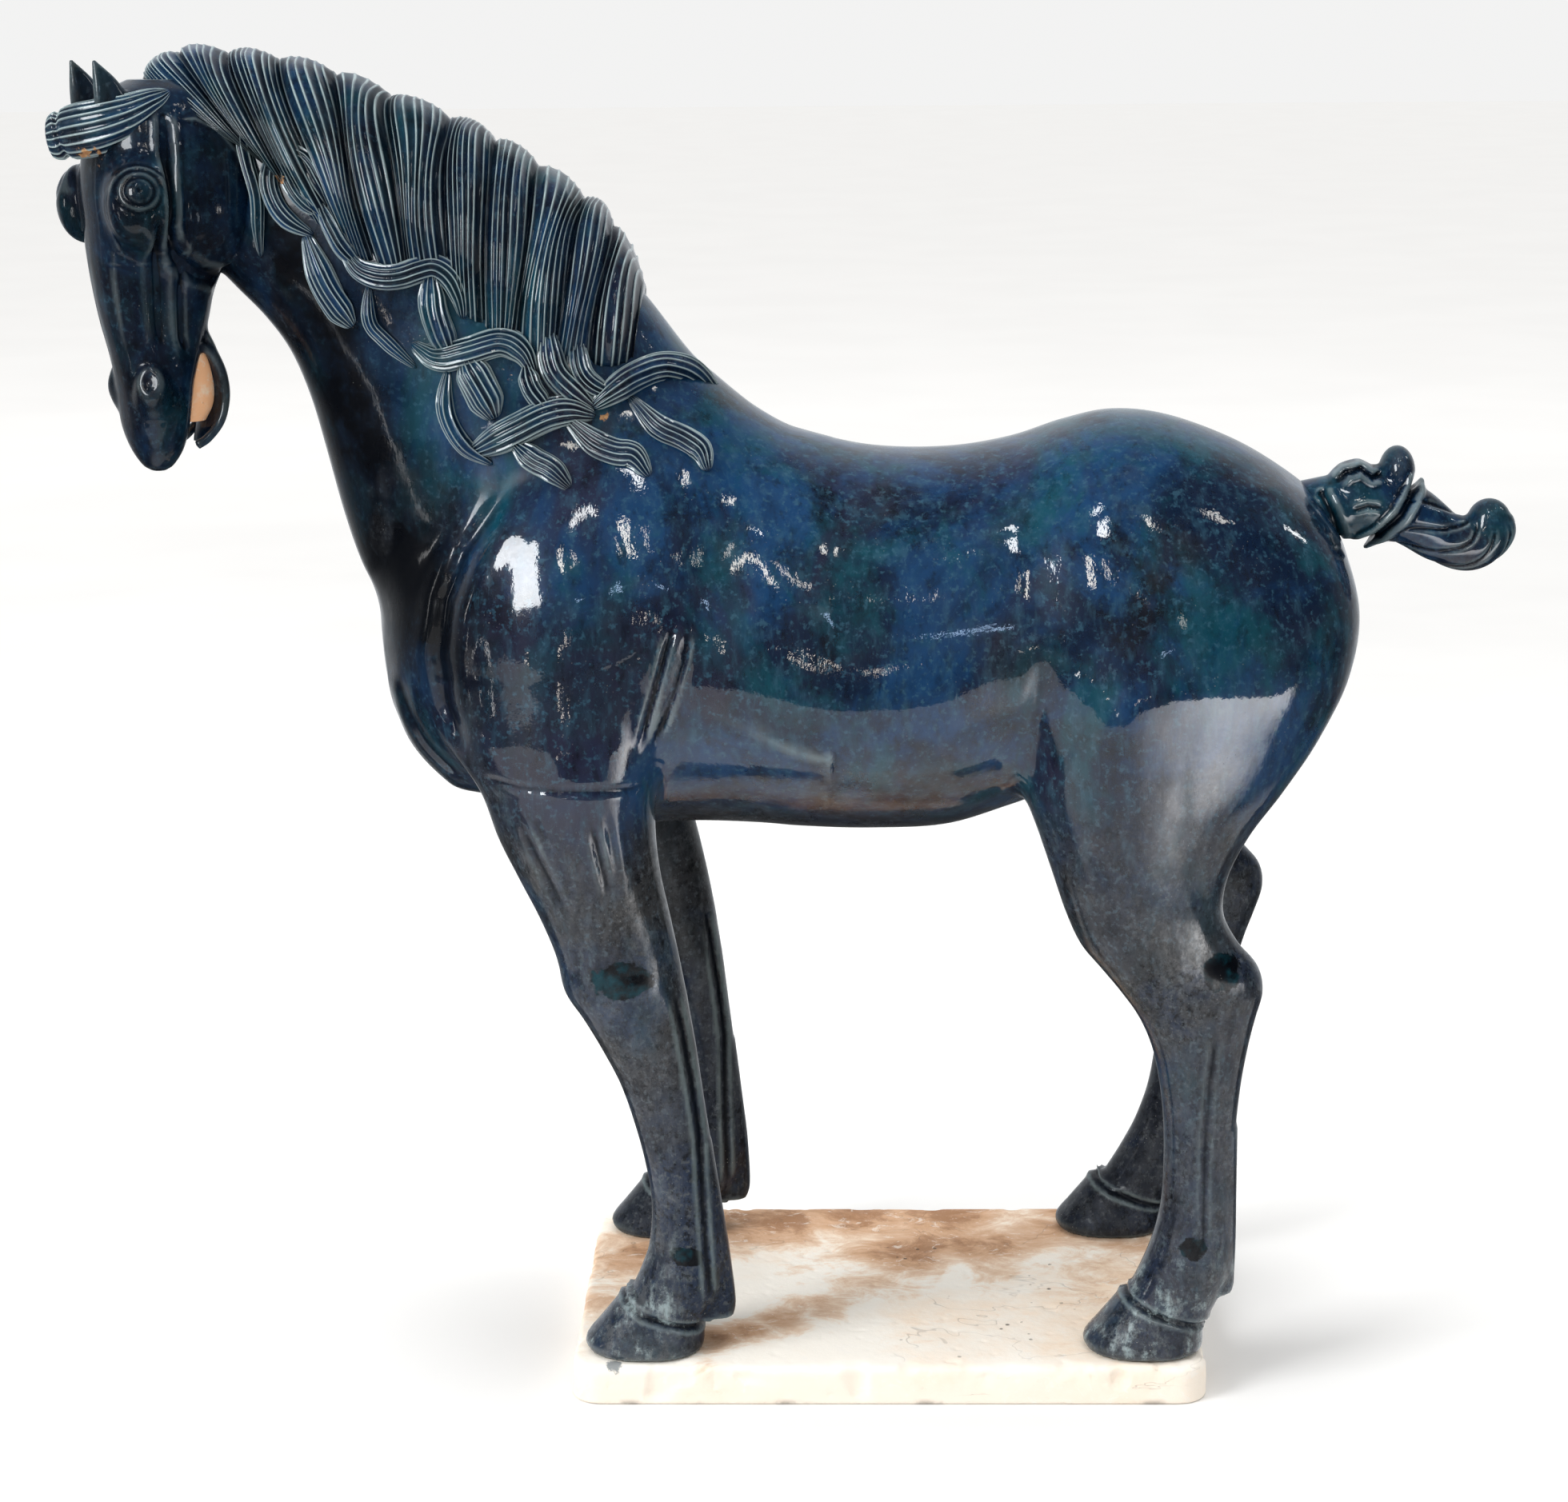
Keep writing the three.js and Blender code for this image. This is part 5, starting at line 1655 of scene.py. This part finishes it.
# Windows and lamps of the room, each placed so that it mirrors at a chosen place of the glaze:
# [name, that place, width and height as angles seen from it, brightness, tilt, colour].
GLINTS = [
    ["softbox", (-178, -89, 410), (0.32, 0.55), 16, 16, (0.95, 0.98, 1)],
    ["strip_a", (-161, -88, 416), (0.03, 0.22), 16, 14, (1, 0.95, 0.86)],
    ["strip_b", (-155, -88, 417), (0.016, 0.14), 12, 14, (1, 0.93, 0.86)],
    ["lamp_a", (-94, -85, 416), (0.008, 0.06), 12, 4, (1, 0.95, 0.85)],
    ["window_a", (62, -76, 421), (0.04, 0.15), 18, 6, (0.97, 0.99, 1)],
    ["window_b", (104, -74, 438), (0.045, 0.09), 16, -8, (0.95, 0.98, 1)],
    ["window_c", (128, -76, 431), (0.035, 0.09), 14, -8, (1, 0.97, 0.9)],
    ["window_d", (164, -70, 432), (0.06, 0.05), 9, -20, (1, 0.97, 0.92)],
    ["bench", (44, -84, 380), (0.09, 0.013), 13, 12, (0.5, 0.7, 1)],
    ["spot_a", (-176, -89, 366), (0.035, 0.016), 15, 0, (1, 0.9, 0.8)],
    ["spot_b", (-85, -88, 376), (0.014, 0.03), 15, 0, (1, 0.9, 0.8)],
    ["spot_c", (-44, -90, 366), (0.014, 0.026), 15, 0, (1, 0.9, 0.8)],
    ["spot_d", (-4, -90, 361), (0.012, 0.024), 13, 0, (1, 0.9, 0.8)],
    ["head_glint", (-388, -62, 600), (0.06, 0.2), 8, 0, (1, 1, 1)],
    ["cheek_glint", (-329, -43, 612), (0.035, 0.16), 14, 12, (0.95, 0.98, 1)],
    ["cheek_spark", (-322, -42, 590), (0.03, 0.06), 12, 20, (1, 0.95, 0.9)],
    ["nose_glint", (-381, -50, 556), (0.014, 0.3), 12, 3, (1, 1, 1)],
    ["nose_side", (-366, -47, 540), (0.03, 0.12), 5, 0, (0.8, 0.9, 1)],
    ["muzzle_glint", (-370, -47, 490), (0.03, 0.05), 12, 0, (1, 1, 1)],
]
ROOM_DISTANCE = 2.2

# Camera

# Read off the photograph: a long lens above the horse, looking down at the plinth.
CAMERA_PLACE = Vector((-0.024, -1.605, 0.6951))
FOCAL_PIXELS = 3900
PHOTO_WIDTH = 1960
SENSOR = 36.0
HORIZON_ROW, MIDDLE_ROW = 30, 939
VANISHING_COLUMN, MIDDLE_COLUMN = 1052, 980
LOOK_DOWN = math.atan((MIDDLE_ROW - HORIZON_ROW) / FOCAL_PIXELS)
LOOK_LEFT = math.atan((VANISHING_COLUMN - MIDDLE_COLUMN) / FOCAL_PIXELS)
ROLL = math.radians(0.45)

sideways = Vector((math.cos(LOOK_LEFT), math.sin(LOOK_LEFT), 0))
ahead = math.cos(LOOK_DOWN)
forward = Vector((-math.sin(LOOK_LEFT) * ahead, math.cos(LOOK_LEFT) * ahead, -math.sin(LOOK_DOWN)))
upright = sideways.cross(forward)
right = sideways * math.cos(ROLL) - upright * math.sin(ROLL)
up = upright * math.cos(ROLL) + sideways * math.sin(ROLL)

lens = bpy.data.cameras.new("camera")
lens.sensor_fit = "HORIZONTAL"
lens.sensor_width = SENSOR
lens.lens = FOCAL_PIXELS / PHOTO_WIDTH * SENSOR
lens.clip_end = 50
camera = in_scene("camera", lens)
turned = Matrix((right, up, -forward)).transposed().to_4x4()
turned.translation = CAMERA_PLACE
camera.matrix_world = turned
bpy.context.scene.camera = camera

for name, place, size, brightness, tilt, colour in GLINTS:
    place = np.array([place], float)
    for _ in range(4):
        place = place - body.slope(place, 6.0) * body.sample(place)[:, None]
    facing = Vector(body.slope(place, 6.0)[0])
    spot = Vector(placed(place)[0])
    towards = (spot - CAMERA_PLACE).normalized()
    away = towards - 2 * towards.dot(facing) * facing
    width, length = (ROOM_DISTANCE * angle for angle in size)
    power = brightness * math.pi * width * length
    lamp = soft_light(name, spot + away * ROOM_DISTANCE, spot, (width, length), power, colour)
    lamp.rotation_euler.rotate_axis("Z", math.radians(tilt))
    lamp.visible_diffuse = False

bpy.context.scene.view_settings.view_transform = "Standard"
